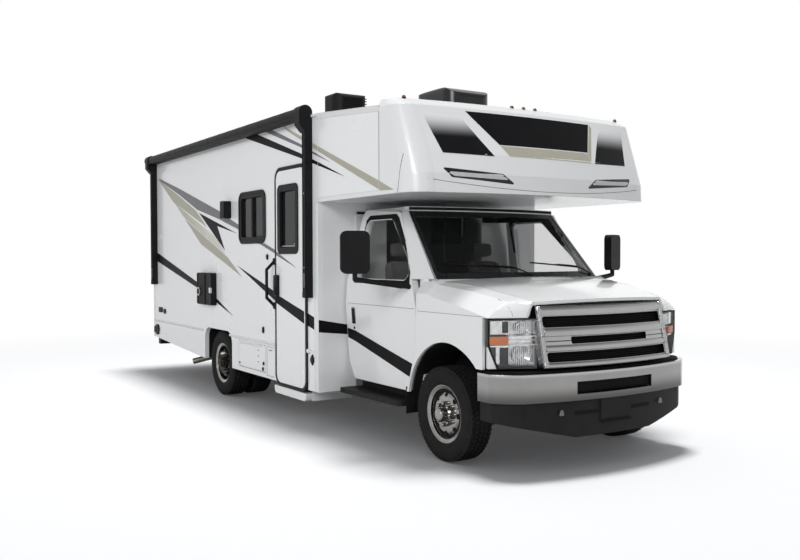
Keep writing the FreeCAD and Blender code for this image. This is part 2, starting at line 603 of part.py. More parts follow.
def make_leaf_springs():
    x, z = rear_axle_x, size.axle_height + size.axle_tube_radius
    half, pack, leaf = size.leaf_half_length, size.leaf_pack, size.leaf_thickness
    y_range = (size.leaf_y - size.leaf_width / 2, size.leaf_y + size.leaf_width / 2)
    top = size.rail_high
    main = Part.Face(Part.Wire([
        arc_edge(Vector(x - half, 0, top - leaf * 2), Vector(x, 0, z + pack - leaf),
                 Vector(x + half, 0, top - leaf * 2)),
        Part.makeLine(Vector(x + half, 0, top - leaf * 2), Vector(x + half, 0, top - leaf)),
        arc_edge(Vector(x + half, 0, top - leaf), Vector(x, 0, z + pack),
                 Vector(x - half, 0, top - leaf)),
        Part.makeLine(Vector(x - half, 0, top - leaf), Vector(x - half, 0, top - leaf * 2))]))
    main.translate(Vector(0, min(y_range), 0))
    blade = main.extrude(Vector(0, size.leaf_width, 0))
    short = block((x - half / 2, x + half / 2), y_range, (z + leaf / 2, z + pack - leaf / 2))
    seat = block((x - pack, x + pack), y_range, (z - leaf, z + pack))
    hangers = [block((x + side * half - size.hanger_width / 2, x + side * half + size.hanger_width / 2),
                     y_range, (top - leaf * 3, top)) for side in (-1, 1)]
    spring = blade.fuse([short, seat] + hangers)
    spring = spring.cut(doc.getObject("rear_axle").Shape)
    add_part("leaf_springs", both_sides(spring))


# House

def wall_outline():
    """Side view of a house wall, with its wheel arch and the arm over the cab."""
    rear, front = size.house_rear_x, size.house_front_x
    arch_rear = rear_axle_x - size.arch_rear_reach
    arch_front = rear_axle_x + size.arch_front_reach
    over = size.overcab_height + size.deck_thickness
    corner = size.arch_corner_radius
    return ((rear, size.skirt_rear_height, 0), (arch_rear, size.skirt_arch_height, 0),
            (arch_rear, size.arch_top_height, corner), (arch_front, size.arch_top_height, corner),
            (arch_front, size.skirt_front_height, 0), (front, size.skirt_front_height, 0),
            (front, over, 0), (size.cap_rear_x, over, 0),
            (size.cap_rear_x, wall_top - size.roof_front_drop, 0), (front, wall_top, 0),
            (rear, wall_top, 0))


def window_outline(inset):
    return rectangle((size.window_rear_x + inset, size.window_front_x - inset),
                     (size.window_bottom + inset, size.window_top - inset),
                     max(size.window_radius - inset, 0))


def make_house_walls():
    y_range = (-size.house_half_width, -wall_inner_y)
    wall = side_plate(wall_outline(), y_range)
    window = side_plate(window_outline(0), y_range)
    left = mirrored(wall.cut(window))
    door = side_plate(((size.entry_rear_x, 0, 0), (size.entry_front_x, 0, 0),
                       (size.entry_front_x, size.entry_top, size.entry_corner_radius),
                       (size.entry_rear_x, size.entry_top, size.entry_corner_radius)), y_range)
    hatch = side_plate(rectangle((size.baggage_rear_x, size.baggage_front_x),
                                 (size.baggage_bottom, size.baggage_top), size.baggage_radius),
                       y_range)
    add_part("house_wall_right", wall.cut([window, door, hatch]))
    add_part("house_wall_left", left)
    rear = block((size.house_rear_x, size.house_rear_x + size.wall_thickness),
                 (-wall_inner_y, wall_inner_y), (size.skirt_rear_height, wall_top))
    add_part("house_wall_rear", rear)


def make_house_floor():
    slab = block((size.house_rear_x + size.wall_thickness, size.house_front_x - size.wall_thickness),
                 (-wall_inner_y, wall_inner_y), (size.floor_height, floor_top))
    well = block((size.entry_rear_x, size.entry_front_x),
                 (-size.house_half_width, step_inner_y),
                 (size.floor_height, floor_top))
    add_part("house_floor", slab.cut(well))


def roof_section(x, drop):
    """Closed front-view outline of the roof at one station."""
    half, edge = size.house_half_width, size.roof_edge_height - drop
    thick = size.wall_thickness
    crown = edge + size.roof_crown
    return Part.Wire([
        arc_edge(Vector(x, -half, edge), Vector(x, 0, crown), Vector(x, half, edge)),
        Part.makeLine(Vector(x, half, edge), Vector(x, half, edge - thick)),
        Part.makeLine(Vector(x, half, edge - thick), Vector(x, wall_inner_y, edge - thick)),
        arc_edge(Vector(x, wall_inner_y, edge - thick), Vector(x, 0, crown - thick),
                 Vector(x, -wall_inner_y, edge - thick)),
        Part.makeLine(Vector(x, -wall_inner_y, edge - thick), Vector(x, -half, edge - thick)),
        Part.makeLine(Vector(x, -half, edge - thick), Vector(x, -half, edge))])


def roof_pieces():
    """Level main roof, and the part over the cab that drops to the front."""
    level = [roof_section(size.house_rear_x, 0), roof_section(size.house_front_x, 0)]
    slope = [roof_section(size.house_front_x, 0),
             roof_section(size.cap_rear_x, size.roof_front_drop)]
    return [Part.makeLoft(stations, True, True) for stations in (level, slope)]


def make_house_roof():
    main, slope = roof_pieces()
    add_part("house_roof", main.fuse(slope))


def make_house_bulkhead():
    """Front wall of the house, with the deck that carries the bunk over the cab."""
    front = size.house_front_x
    x_range = (front - size.wall_thickness, front)
    wall = block(x_range, (-wall_inner_y, wall_inner_y), (size.bulkhead_low, size.overcab_height))
    way = front_plate(rectangle((-size.pass_half_width, size.pass_half_width),
                                (size.pass_bottom, pass_top), size.window_radius), x_range)
    relief = block(x_range, (-size.bulkhead_relief_half_width, size.bulkhead_relief_half_width),
                   (0, size.bulkhead_relief_top))
    edge = size.cap_bottom_x - size.cap_shell - size.cap_corner_low
    deck = block((front - size.wall_thickness, edge),
                 (-wall_inner_y, wall_inner_y),
                 (size.overcab_height, size.overcab_height + size.deck_thickness))
    rim = block((front, size.cap_rear_x), (-size.house_half_width, size.house_half_width),
                (size.overcab_height, size.overcab_height + size.deck_thickness))
    shape = wall.cut([way, relief]).fuse([deck, rim]).removeSplitter()
    add_part("house_bulkhead", shape)


def cap_section(z, corner_x, bow, corner, inset):
    """Outline of the cap seen from above, at height z and drawn in by inset."""
    half = size.house_half_width - inset
    rear, nose = size.cap_rear_x, corner_x - inset
    turn = corner * (1 - 1 / math.sqrt(2))
    start, middle, end = (Vector(nose - corner, half, z), Vector(nose - turn, half - turn, z),
                          Vector(nose, half - corner, z))
    flip = lambda p: Vector(p.x, -p.y, p.z)
    return Part.Wire([
        Part.makeLine(Vector(rear, half, z), start),
        arc_edge(start, middle, end),
        arc_edge(end, Vector(nose + bow, 0, z), flip(end)),
        arc_edge(flip(end), flip(middle), flip(start)),
        Part.makeLine(flip(start), Vector(rear, -half, z)),
        Part.makeLine(Vector(rear, -half, z), Vector(rear, half, z))])


def cap_solid(inset):
    low, tall = size.overcab_height, size.cap_crown_height - size.overcab_height
    brow_share, fold_share, upper_share = 0.194, 0.411, 0.92
    upper_z = low + tall * upper_share - inset
    stations = (
        (low + inset, size.cap_bottom_x, size.cap_bow_low, size.cap_corner_low),
        (low + tall * brow_share, size.cap_brow_x, size.cap_bow_low, size.cap_corner_low),
        (low + tall * fold_share, size.cap_fold_x, size.cap_bow_low, size.cap_corner_low),
        (upper_z, size.cap_upper_x, size.cap_bow_high, size.cap_corner_high),
    )
    body = Part.makeLoft([cap_section(z, x, bow, corner, inset)
                          for z, x, bow, corner in stations], True, True)
    upper = cap_section(upper_z, size.cap_upper_x, size.cap_bow_high, size.cap_corner_high, inset)
    crown = cap_section(size.cap_crown_height - inset, size.cap_crown_x, size.cap_bow_high,
                        size.cap_corner_high, inset + size.cap_roof_inset)
    return body.fuse(Part.makeLoft([upper, crown], True, True))


def make_front_cap():
    outer = cap_solid(0)
    inner = cap_solid(size.cap_shell)
    back = block((size.cap_rear_x - size.wall_thickness, size.cap_rear_x + size.cap_shell),
                 (-wall_inner_y, wall_inner_y),
                 (size.overcab_height + size.deck_thickness, wall_top - size.roof_front_drop))
    shape = outer.cut(inner.fuse(back))
    deck = doc.getObject("house_bulkhead").Shape
    shape = shape.cut(deck)
    crown, step = size.cap_crown_x, size.marker_spacing
    outer = size.house_half_width - size.marker_inset
    nose = crown + size.cap_bow_high - size.marker_radius * 2
    markers = [cylinder(Vector(x, y, size.cap_crown_height),
                        Vector(x, y, size.cap_crown_height + size.marker_height), size.marker_radius)
               for x, y in ((crown - size.marker_radius * 2, -outer), (nose, -step), (nose, 0),
                            (nose, step), (crown - size.marker_radius * 2, outer))]
    add_part("front_cap", max(shape.Solids, key=lambda solid: solid.Volume))
    add_part("marker_lamps", Part.makeCompound(markers))


def make_house_glass():
    middle = (size.house_half_width + wall_inner_y) / 2
    pane = side_plate(window_outline(0), (-middle, -middle - size.glass_thickness))
    add_part("house_glass", both_sides(pane))
    ring = side_plate(window_outline(-size.frame_width),
                      (-size.house_half_width - size.frame_proud, -size.house_half_width))
    ring = ring.cut(side_plate(window_outline(0),
                               (-size.house_half_width - size.frame_proud, -size.house_half_width)))
    add_part("window_frames", both_sides(ring))


def make_entry_door():
    gap, frame = size.panel_gap, size.entry_frame_width
    outer_y = -size.house_half_width - size.entry_proud
    y_range = (outer_y, outer_y + size.entry_leaf_thickness)
    rear, front = size.entry_rear_x + frame, size.entry_front_x - frame
    bottom, top = size.entry_bottom + frame, size.entry_top - frame
    radius = size.entry_corner_radius
    frame_face = (outer_y, -wall_inner_y)
    around_door = rectangle((size.entry_rear_x, size.entry_front_x),
                            (size.entry_bottom, size.entry_top), radius)
    hole = rectangle((rear, front), (bottom, top), radius - frame)
    ring = side_plate(around_door, frame_face).cut(side_plate(hole, frame_face))
    ring = ring.cut(block((size.entry_rear_x, size.entry_front_x), frame_face,
                          (0, size.entry_bottom)))
    add_part("entry_frame", ring)
    leaf = side_plate(rectangle((rear + gap, front - gap), (bottom + gap, top - gap),
                                radius - frame - gap), y_range)
    window = side_plate(rectangle((size.entry_window_rear_x, size.entry_window_front_x),
                                  (size.entry_window_bottom, size.entry_window_top),
                                  size.entry_window_radius), y_range)
    hinge_x = front - gap
    barrel = cylinder(Vector(hinge_x, outer_y, bottom + radius), Vector(hinge_x, outer_y, top - radius),
                      size.hinge_radius)
    add_part("entry_door", leaf.cut(window).fuse(barrel))
    middle = sum(y_range) / 2
    pane = side_plate(rectangle((size.entry_window_rear_x, size.entry_window_front_x),
                                (size.entry_window_bottom, size.entry_window_top),
                                size.entry_window_radius),
                      (middle - size.glass_thickness / 2, middle + size.glass_thickness / 2))
    add_part("entry_door_glass", pane)


def make_step_well():
    """Moulded tub under the entry door, with one tread inside."""
    wall = size.step_wall
    x_range = (size.entry_rear_x, size.entry_front_x)
    outer_y = -size.house_half_width - size.step_proud
    inner_y = step_inner_y
    top = size.floor_height
    sill = size.entry_bottom
    tub = block(x_range, (-wall_inner_y, inner_y), (size.step_well_bottom, top))
    lip = side_plate(((min(x_range), size.step_well_bottom, size.step_corner_radius),
                      (max(x_range), size.step_well_bottom, size.step_corner_radius),
                      (max(x_range), sill, 0), (min(x_range), sill, 0)),
                     (outer_y, -wall_inner_y))
    shape = tub.fuse(lip)
    inside = (min(x_range) + wall, max(x_range) - wall)
    hollow = block(inside, (-wall_inner_y, inner_y - wall), (sill, top))
    tread = block(inside, ((inner_y - wall_inner_y) / 2, inner_y - wall),
                  (size.step_well_bottom, size.step_tread_height))
    shape = shape.cut(hollow).fuse(tread).removeSplitter()
    add_part("step_well", shape)


def make_baggage_door():
    gap = size.panel_gap
    outer_y = -size.house_half_width
    leaf = side_plate(rectangle((size.baggage_rear_x + gap, size.baggage_front_x - gap),
                                (size.baggage_bottom + gap, size.baggage_top - gap),
                                size.baggage_radius), (outer_y, outer_y + size.baggage_thickness))
    hinge_z = size.baggage_top - gap
    barrel = cylinder(Vector(size.baggage_rear_x + size.baggage_radius * 2, outer_y, hinge_z),
                      Vector(size.baggage_front_x - size.baggage_radius * 2, outer_y, hinge_z),
                      size.hinge_radius)
    add_part("baggage_door", leaf.fuse(barrel))


def make_awning():
    """Roller tube in two end castings, each on an arm folded flat against the wall."""
    wall, radius = -size.house_half_width, size.awning_radius
    y, z = wall - size.awning_reach, size.roof_edge_height + size.awning_lift
    head_bottom = z - size.awning_head_drop
    rear, front = size.awning_rear_x, size.awning_front_x
    arm_width, head_width = size.awning_arm_width, size.awning_head_width
    shape = cylinder(Vector(rear, y, z), Vector(front, y, z), radius)
    rail = block((rear, front), (wall, y), (z - size.awning_rail, z - size.awning_rail * 2))
    shape = shape.fuse(rail)
    arm_out, head_out = wall - size.awning_arm_depth, y - size.awning_head_radius
    for head_x in (rear, front - head_width):
        arm_x = head_x + head_width - arm_width
        arm = block((arm_x, arm_x + arm_width), (wall, arm_out), (size.awning_arm_bottom, z))
        tube_end = cylinder(Vector(head_x, y, z), Vector(head_x + head_width, y, z),
                            size.awning_head_radius)
        casting = front_plate(((arm_out, head_bottom, 0), (head_out, z - radius * 2, 0),
                               (head_out, z, 0), (wall, z, 0), (wall, head_bottom, 0)),
                              (head_x + arm_width / 2, head_x + head_width))
        shape = shape.fuse([arm, tube_end, casting])
    add_part("awning", shape.removeSplitter())


def make_side_fittings():
    wall = -size.house_half_width
    furnace = side_plate(rectangle((size.furnace_rear_x, size.furnace_front_x),
                                   (size.furnace_bottom, size.furnace_top), size.awning_cap),
                         (wall - size.furnace_proud, wall))
    porch = side_plate(rectangle((size.porch_rear_x, size.porch_front_x),
                                 (size.porch_bottom, size.porch_top), size.awning_cap),
                       (wall - size.porch_proud, wall))
    add_part("side_fittings", Part.makeCompound([furnace, porch]))
    x, reach = size.handle_x, size.handle_reach
    low, high = size.handle_bottom, size.handle_top
    curve = reach
    route = [Vector(x, wall, low), Vector(x, wall - reach, low + curve),
             Vector(x, wall - reach, high - curve), Vector(x, wall, high)]
    handle = tube_path(route, size.handle_radius)
    inside = block((x - reach, x + reach), (wall, 0), (low - reach, high + reach))
    add_part("assist_handle", handle.cut(inside))


def make_rear():
    rear, gap = size.bumper_rear_x, size.panel_gap
    front = rear + size.rear_bumper_depth
    low, high = size.rear_bumper_bottom, size.rear_bumper_top
    bumper = block((rear, front), (-size.rear_bumper_half_width, size.rear_bumper_half_width),
                   (low, high))
    y_out = size.rail_half_width
    inside = size.house_rear_x + size.wall_thickness
    reach = inside + size.receiver_length / 2
    bracket = side_plate(((front, low + gap, 0), (front, high - gap, 0), (inside + gap, high - gap, 0),
                          (inside + gap, size.rail_high, 0), (reach, size.rail_high, 0),
                          (reach, high, 0), (inside + gap * 6, low + gap, 0)),
                         (y_out - size.rail_flange, y_out))
    half, bore = size.receiver_outer / 2, size.receiver_inner / 2
    centre_z = low + half
    receiver = block((rear, rear + size.receiver_length), (-half, half),
                     (centre_z - half, centre_z + half))
    channel = block((rear, rear + size.receiver_length), (-bore, bore),
                    (centre_z - bore, centre_z + bore))
    tube = block((inside + gap * 2, inside + size.rear_bumper_depth), (-y_out, y_out),
                 (centre_z, high - gap))
    shape = bumper.fuse([receiver, bracket, mirrored(bracket), tube]).cut(channel)
    add_part("rear_bumper", shape.removeSplitter())
    y, half_lamp = size.lamp_y, size.lamp_width / 2
    lamp = front_plate(rectangle((y - half_lamp, y + half_lamp), (size.lamp_bottom, size.lamp_top),
                                 size.awning_cap),
                       (size.house_rear_x - size.lamp_proud, size.house_rear_x))
    add_part("tail_lamps", both_sides(lamp))


def crowned_cover(x_range, y_range, z_range, side_shares, corner, shoulder):
    """Cover on the roof: a side outline, cut to a rounded plan and a rounded front view.
    Side shares are (share of length, share of height, corner radius as a share of the height)."""
    rear, base = x_range[0], z_range[0]
    length, height = x_range[1] - rear, z_range[1] - base
    side = side_plate([(rear + length * u, base + height * w, height * r)
                       for u, w, r in side_shares], y_range)
    plan = flat_plate(rectangle(x_range, y_range, corner), z_range)
    (low_y, high_y), top = y_range, z_range[1]
    front_view = front_plate(((low_y, base, 0), (high_y, base, 0), (high_y, top, shoulder),
                              (low_y, top, shoulder)), x_range)
    cover = side.common(plan).common(front_view)
    for piece in roof_pieces():
        cover = cover.cut(piece)
    return max(cover.Solids, key=lambda solid: solid.BoundBox.ZMax)


def make_roof_units():
    """Air conditioner shroud and a domed vent cover."""
    half, y, edge = size.ac_half_width, size.vent_y, size.roof_edge_height
    ac_side_shares = ((0.04, 0, 0), (1, 0, 0), (1, 0.78, 0.2), (0.8, 0.96, 0.5), (0.5, 1, 0.8),
                      (0.2, 0.97, 0.4), (0, 0.88, 0.05))
    add_part("air_conditioner",
             crowned_cover((size.ac_rear_x, size.ac_front_x), (-half, half),
                           (edge - size.ac_sink, edge + size.ac_rise), ac_side_shares,
                           half * 0.6, half / 4))
    vent_side_shares = ((0, 0, 0), (1, 0, 0), (0.97, 0.9, 0.15), (0.75, 1, 0.4), (0.3, 1, 0.4),
                        (0.03, 0.9, 0.15))
    reach = size.vent_half_width
    add_part("roof_vent",
             crowned_cover((size.vent_rear_x, size.vent_front_x), (-y - reach, -y + reach),
                           (edge - size.vent_sink, edge + size.vent_rise), vent_side_shares,
                           reach * 0.75, reach / 4))


# Cab

def side_profile(inset):
    """Front-view outline of the cab's side surface, drawn in by inset."""
    return [(size.tuck_y - inset, size.tuck_height),
            (size.cab_half_width - inset, size.shoulder_height),
            (size.belt_y - inset, size.belt_height), (size.cab_roof_y - inset, cab_roof_height)]


def side_slab(x_range, inset, thickness):
    """Sheet that follows the cab's side from the sill to the roof."""
    outer = side_profile(inset)
    inner = side_profile(inset + thickness)
    corners = [(y, z, 0) for y, z in outer] + [(y, z, 0) for y, z in reversed(inner)]
    return front_plate(corners, x_range)


def door_front_edge(grow):
    """Front edge of a cab door from its foot to its top, moved forward by grow."""
    return ((size.door_front_low_x + grow, size.door_bottom),
            (size.door_kick_x + grow, size.door_kick_height),
            (size.door_front_x + grow, size.shoulder_height),
            (size.door_front_x - size.pillar_width + grow, size.belt_height),
            (size.door_front_top_x + grow, door_top))


def door_outline():
    """Side view of a cab door; its front edge clears the wheel and follows the screen."""
    rear, tuck = size.door_rear_x, size.pillar_width
    front = [(x, z, radius) for (x, z), radius in
             zip(door_front_edge(0), (tuck / 2, tuck * 2, tuck, tuck, tuck))]
    return [(rear + tuck, size.door_bottom, tuck / 2)] + front + [
        (rear + tuck, door_rear_top, tuck), (rear, size.belt_height, 0),
        (rear, size.door_bottom + tuck * 2, 0)]


def door_window_outline():
    frame = size.pillar_width * 3 / 4
    rear, front = size.door_rear_x + frame * 2, size.door_front_x
    bottom, top = size.belt_height + frame / 4, door_top - frame
    round_corner = (top - bottom) / 8
    slope = (size.door_front_top_x - front) / (door_top - size.belt_height)
    return ((rear, bottom, round_corner), (front - frame * 2, bottom, round_corner),
            (front - frame * 9 / 4 + (top - bottom) / 6 * slope, bottom + (top - bottom) / 3, 0),
            (size.door_front_top_x - frame * 2, top, round_corner),
            (rear + frame, top, round_corner))


def make_cab_doors():
    x_range = (size.door_rear_x - size.door_gap, size.door_front_x + size.door_gap)
    wide = (0, size.house_half_width)
    slab = side_slab(x_range, 0, size.door_thickness)
    leaf = slab.common(side_plate(door_outline(), wide))
    hole = side_plate(door_window_outline(), wide)
    thin = side_slab(x_range, size.door_thickness / 2, size.glass_thickness)
    pane = thin.common(hole)
    radius = size.door_pin_radius
    foot = Vector(size.door_front_x - size.door_gap / 5 + radius, size.cab_half_width - radius,
                  size.shoulder_height - size.door_pin_length)
    pin = cylinder(foot, foot + Vector(0, 0, size.door_pin_length), radius)
    leaf = leaf.cut(hole).fuse(pin)
    add_part("cab_door_left", leaf)
    add_part("cab_door_right", mirrored(leaf))
    add_part("door_glass_left", pane)
    add_part("door_glass_right", mirrored(pane))


def screen_point(share_up, share_side):
    """Point on the windshield: 0 to 1 from bottom to top, -1 to 1 across."""
    x = size.screen_bottom_x + (size.screen_top_x - size.screen_bottom_x) * share_up
    y = (size.screen_bottom_y + (size.screen_top_y - size.screen_bottom_y) * share_up) * share_side
    z = size.screen_bottom_z + (screen_top_z - size.screen_bottom_z) * share_up
    return Vector(x + size.screen_bow * (1 - share_side * share_side), y, z)


def screen_wire(share_up, deep):
    """Closed strip across the screen at one height, as deep as the given thickness."""
    normal = Vector(deep, 0, 0)
    left, middle, right = (screen_point(share_up, share) for share in (-1, 0, 1))
    return Part.Wire([
        arc_edge(left, middle, right), Part.makeLine(right, right - normal),
        arc_edge(right - normal, middle - normal, left - normal),
        Part.makeLine(left - normal, left)])


def make_windshield():
    add_part("windshield", Part.makeLoft([screen_wire(0, size.screen_thickness),
                                          screen_wire(1, size.screen_thickness)], True, True))


def pillar_section(z, side_x, side_y, glass_x, glass_y):
    """Screen pillar at one height: outer face from door to glass, and a flange behind it."""
    skin, gap = size.cab_skin, size.fit_gap
    back = glass_x - size.screen_thickness - gap
    return Part.makePolygon([
        Vector(side_x, side_y, z), Vector(glass_x, glass_y + gap, z), Vector(back, glass_y + gap, z),
        Vector(back, glass_y - skin, z), Vector(back - skin, glass_y - skin, z),
        Vector(side_x, side_y - skin * 2, z), Vector(side_x, side_y, z)])


def screen_bow_plate(x, bow, half, z_range):
    """Flat panel from the firewall to a bowed front edge."""
    rear = min(size.firewall_x, x - size.pillar_width)
    face = Part.Face(Part.Wire([
        arc_edge(Vector(x, -half, 0), Vector(x + bow, 0, 0), Vector(x, half, 0)),
        Part.makeLine(Vector(x, half, 0), Vector(rear, half, 0)),
        Part.makeLine(Vector(rear, half, 0), Vector(rear, -half, 0)),
        Part.makeLine(Vector(rear, -half, 0), Vector(x, -half, 0))]))
    face.translate(Vector(0, 0, min(z_range)))
    return face.extrude(Vector(0, 0, max(z_range) - min(z_range)))


def make_cab_shell():
    """Floor, toe board, sills, firewall, cowl, pillars and roof of the cab."""
    rear, skin, gap = size.house_front_x, size.cab_skin, size.fit_gap
    half = size.tuck_y - size.door_thickness - size.door_gap
    front, low = size.firewall_x, size.cab_floor
    glass_low = size.screen_bottom_z - gap
    under_cowl = glass_low - skin
    floor = side_plate(((rear, low, 0), (size.toe_x, low, 0), (front + skin, size.toe_height, 0),
                        (front + skin, under_cowl, 0), (front, under_cowl, 0),
                        (front, size.toe_height + skin / 2, 0),
                        (size.toe_x - skin / 2, low + skin, 0), (rear, low + skin, 0)),
                       (-half, half))
    notch = block((front, front + skin), (size.hood_rear_y, half), (under_cowl - skin, under_cowl))
    floor = floor.cut([notch, mirrored(notch)])
    sill = block((rear, size.toe_x), (half - size.cab_sill_width, half), (size.cab_sill, low))
    cowl = screen_bow_plate(size.cowl_x - size.hood_skin / 2, size.hood_bow_rear,
                            size.hood_rear_y, (under_cowl, glass_low))
    roof_low = screen_top_z + gap
    roof = screen_bow_plate(size.screen_top_x, size.screen_bow, size.screen_top_y,
                            (roof_low, roof_low + size.header_height))
    top = roof_low + size.header_height
    roof_half = size.cab_roof_y - size.door_thickness - size.door_gap
    slab = block((rear, size.screen_top_x), (-roof_half, roof_half), (roof_low, top))
    pieces = [sill, mirrored(sill), cowl, roof, slab]
    belt_x = size.door_front_x - size.pillar_width + size.door_gap
    slope = (size.door_front_top_x + size.door_gap - belt_x) / (door_top - size.belt_height)
    sections = []
    for z, side_y, glass_x, glass_y in (
            (glass_low, size.belt_y - size.fit_gap, size.screen_bottom_x, size.screen_bottom_y),
            (roof_low, size.cab_roof_y + size.header_height / 4, size.screen_top_x, size.screen_top_y)):
        side_x = belt_x + slope * (z - size.belt_height)
        sections.append(pillar_section(z, side_x, side_y, glass_x, glass_y))
    pillar = Part.makeLoft(sections, True, True)
    post = side_plate(((size.post_low_x, size.cab_sill, 0),
                       (size.post_low_x + size.post_width, size.cab_sill, 0),
                       (size.post_low_x + size.post_width, size.door_kick_height, 0),
                       (size.post_high_x + size.post_width, size.toe_height, 0),
                       (size.post_high_x + size.post_width, under_cowl, 0),
                       (size.post_high_x, under_cowl, 0), (size.post_high_x, size.toe_height, 0),
                       (size.post_low_x, size.door_kick_height, 0)),
                      (half - size.post_width, half))
    web = side_plate(((size.post_low_x, size.toe_height, 0), (front + skin, size.toe_height, 0),
                      (front + skin, under_cowl, 0), (size.post_low_x, under_cowl, 0)),
                     (half - size.post_width, half - size.post_width / 2))
    back = block((rear, rear + skin / 2), (half, size.pass_half_width),
                 (size.cab_sill, roof_low))
    for piece in (pillar, post, web, back):
        pieces += [piece, mirrored(piece)]
    add_part("cab_shell", floor.fuse(pieces).removeSplitter())


def hood_line(x, bow, half, height, crown):
    """Line across the top of the hood at one station, bowed forward in the middle."""
    return Part.Wire([arc_edge(Vector(x, -half, height), Vector(x + bow, 0, height + crown),
                               Vector(x, half, height))])


def hood_edge(x):
    """Half width and height of the hood's side edge at a station."""
    rear, front = size.cowl_x + size.hood_skin, size.hood_front_x
    share = (x - rear) / (front - rear)
    half = size.hood_rear_y + (size.hood_front_y - size.hood_rear_y) * share
    straight = size.cowl_height + (size.hood_front_height - size.cowl_height) * share
    return half, straight + size.hood_mid_rise * 4 * share * (1 - share)


def hood_pin(room):
    """Round bar on the hood's axis, from under its corner into the fender, with room around it."""
    end = Vector(size.cowl_x + size.hood_skin * 7 / 4, size.hood_rear_y + size.fender_skin + room,
                 size.cowl_height - size.hood_skin * 5 / 6)
    start = end - Vector(0, size.hood_pin_length, 0)
    return cylinder(start, end, size.hood_pin_radius + room)


def make_hood():
    """Crowned panel that turns on two pins under its rear corners."""
    rear, front = size.cowl_x + size.hood_skin, size.hood_front_x
    middle = (rear + front) / 2
    half_mid = (size.hood_rear_y + size.hood_front_y) / 2
    height_mid = (size.cowl_height + size.hood_front_height) / 2 + size.hood_mid_rise
    crown_mid = (size.hood_crown_rear + size.hood_crown_front) / 2
    bow_mid = (size.hood_bow_rear + size.hood_bow_front) / 2
    lines = [
        hood_line(rear, size.hood_bow_rear, size.hood_rear_y, size.cowl_height,
                  size.hood_crown_rear),
        hood_line(middle, bow_mid, half_mid, height_mid, crown_mid),
        hood_line(front, size.hood_bow_front, size.hood_front_y, size.hood_front_height,
                  size.hood_crown_front)]
    surface = Part.makeLoft(lines, False, False).Faces[0]
    panel = surface.extrude(Vector(0, 0, -size.hood_skin))
    barrel = hood_pin(0)
    add_part("hood", panel.fuse([barrel, mirrored(barrel)]))


def fender_section(x, top, side_y, run, fall):
    """Section of a fender, one skin thick: from the hood's edge out over the shoulder and down."""
    skin, low, (top_y, top_z) = size.fender_skin, size.fender_bottom, top
    shoulder_shares = ((1, 0.18, 0.3, 1), (0.45, 0.58, 0.8, 0.7), (0, 1, 1, 0))
    outer, inner = [Vector(x, top_y, top_z)], [Vector(x, top_y, top_z - skin)]
    for across, down, skin_across, skin_down in shoulder_shares:
        y, z = side_y - run * across, top_z - fall * down
        outer.append(Vector(x, y, z))
        inner.append(Vector(x, y - skin * skin_across, z - skin * skin_down))
    outer.append(Vector(x, side_y, low))
    inner.append(Vector(x, side_y - skin, low))
    return Part.makePolygon(outer + inner[::-1] + outer[:1])


def make_fenders():
    """Panels beside the hood, each from the door to the headlamp, with the wheel arch cut out."""
    rear, gap = size.door_front_low_x, size.panel_gap
    half = size.cab_half_width
    high = (size.hood_rear_y + gap * 4 / 3, size.screen_bottom_z - size.fit_gap * 2)
    hood_rear, joint = size.cowl_x + size.hood_skin, size.cowl_x + size.pillar_width
    middle = (size.cowl_x + size.hood_front_x) / 2
    slope = (size.head_outer_y - size.grille_half_width) / (size.head_inner_x - size.head_outer_x)
    tip_y = size.head_outer_y - (size.fender_tip_x - size.head_outer_x) * slope

    def beside_hood(x):
        edge_y, edge_z = hood_edge(x)
        return edge_y + gap, edge_z

    stations = [
        fender_section(rear, high, half, size.fender_rear_run, size.fender_rear_fall),
        fender_section(hood_rear, high, half, size.fender_rear_run, size.fender_rear_fall),
        fender_section(joint, beside_hood(joint), half, size.fender_rear_run,
                       size.fender_rear_fall),
        fender_section(middle, beside_hood(middle), half, size.fender_middle_run,
                       size.fender_middle_fall),
        fender_section(size.fender_front_x, beside_hood(size.fender_front_x), size.head_outer_y,
                       size.fender_front_run, size.fender_front_fall),
        fender_section(size.fender_tip_x, beside_hood(size.fender_tip_x), tip_y,
                       size.fender_tip_run, size.fender_tip_fall)]
    panel = Part.makeLoft(stations, True, True)
    lamp_rear = size.head_back_x - gap
    edge = [(x, z, 0) for x, z in door_front_edge(size.door_gap)]
    outline = edge[:3] + [(size.door_front_x + size.door_gap, size.cowl_height + size.hood_skin, 0),
                          (size.bumper_front_x, size.cowl_height + size.hood_skin, 0),
                          (size.bumper_front_x, size.head_top + gap, 0),
                          (lamp_rear, size.head_top + gap, 0),
                          (lamp_rear, size.fender_nose_height, 0),
                          (size.front_arch_x, size.fender_nose_height, 0),
                          (size.front_arch_x, size.door_bottom, 0)]
    panel = panel.common(side_plate(outline, (0, size.house_half_width)))
    centre = Vector(size.front_arch_x, 0, size.front_arch_height)
    arch = cylinder(centre, centre + Vector(0, size.house_half_width, 0), size.front_arch_radius)
    fender = panel.cut([arch, hood_pin(size.fit_gap)])
    fender = max(fender.Solids, key=lambda solid: solid.Volume)
    add_part("front_fenders", both_sides(fender))


def grille_line(height, back, half):
    """Closed strip across the leaning grille at one height, set back from its face."""
    tall = size.grille_top_height - size.grille_bottom_height
    share = (height - size.grille_bottom_height) / tall
    x = size.grille_bottom_x + (size.grille_top_x - size.grille_bottom_x) * share - back
    bow, depth = Vector(size.grille_bow, 0, 0), Vector(size.grille_depth, 0, 0)
    left, middle, right = Vector(x, half, height), Vector(x, 0, height) + bow, Vector(x, -half, height)
    return Part.Wire([
        arc_edge(left, middle, right), Part.makeLine(right, right - depth),
        arc_edge(right - depth, middle - depth, left - depth), Part.makeLine(left - depth, left)])


def grille_band(low, high, back, half):
    return Part.makeLoft([grille_line(low, back, half), grille_line(high, back, half)], True, True)


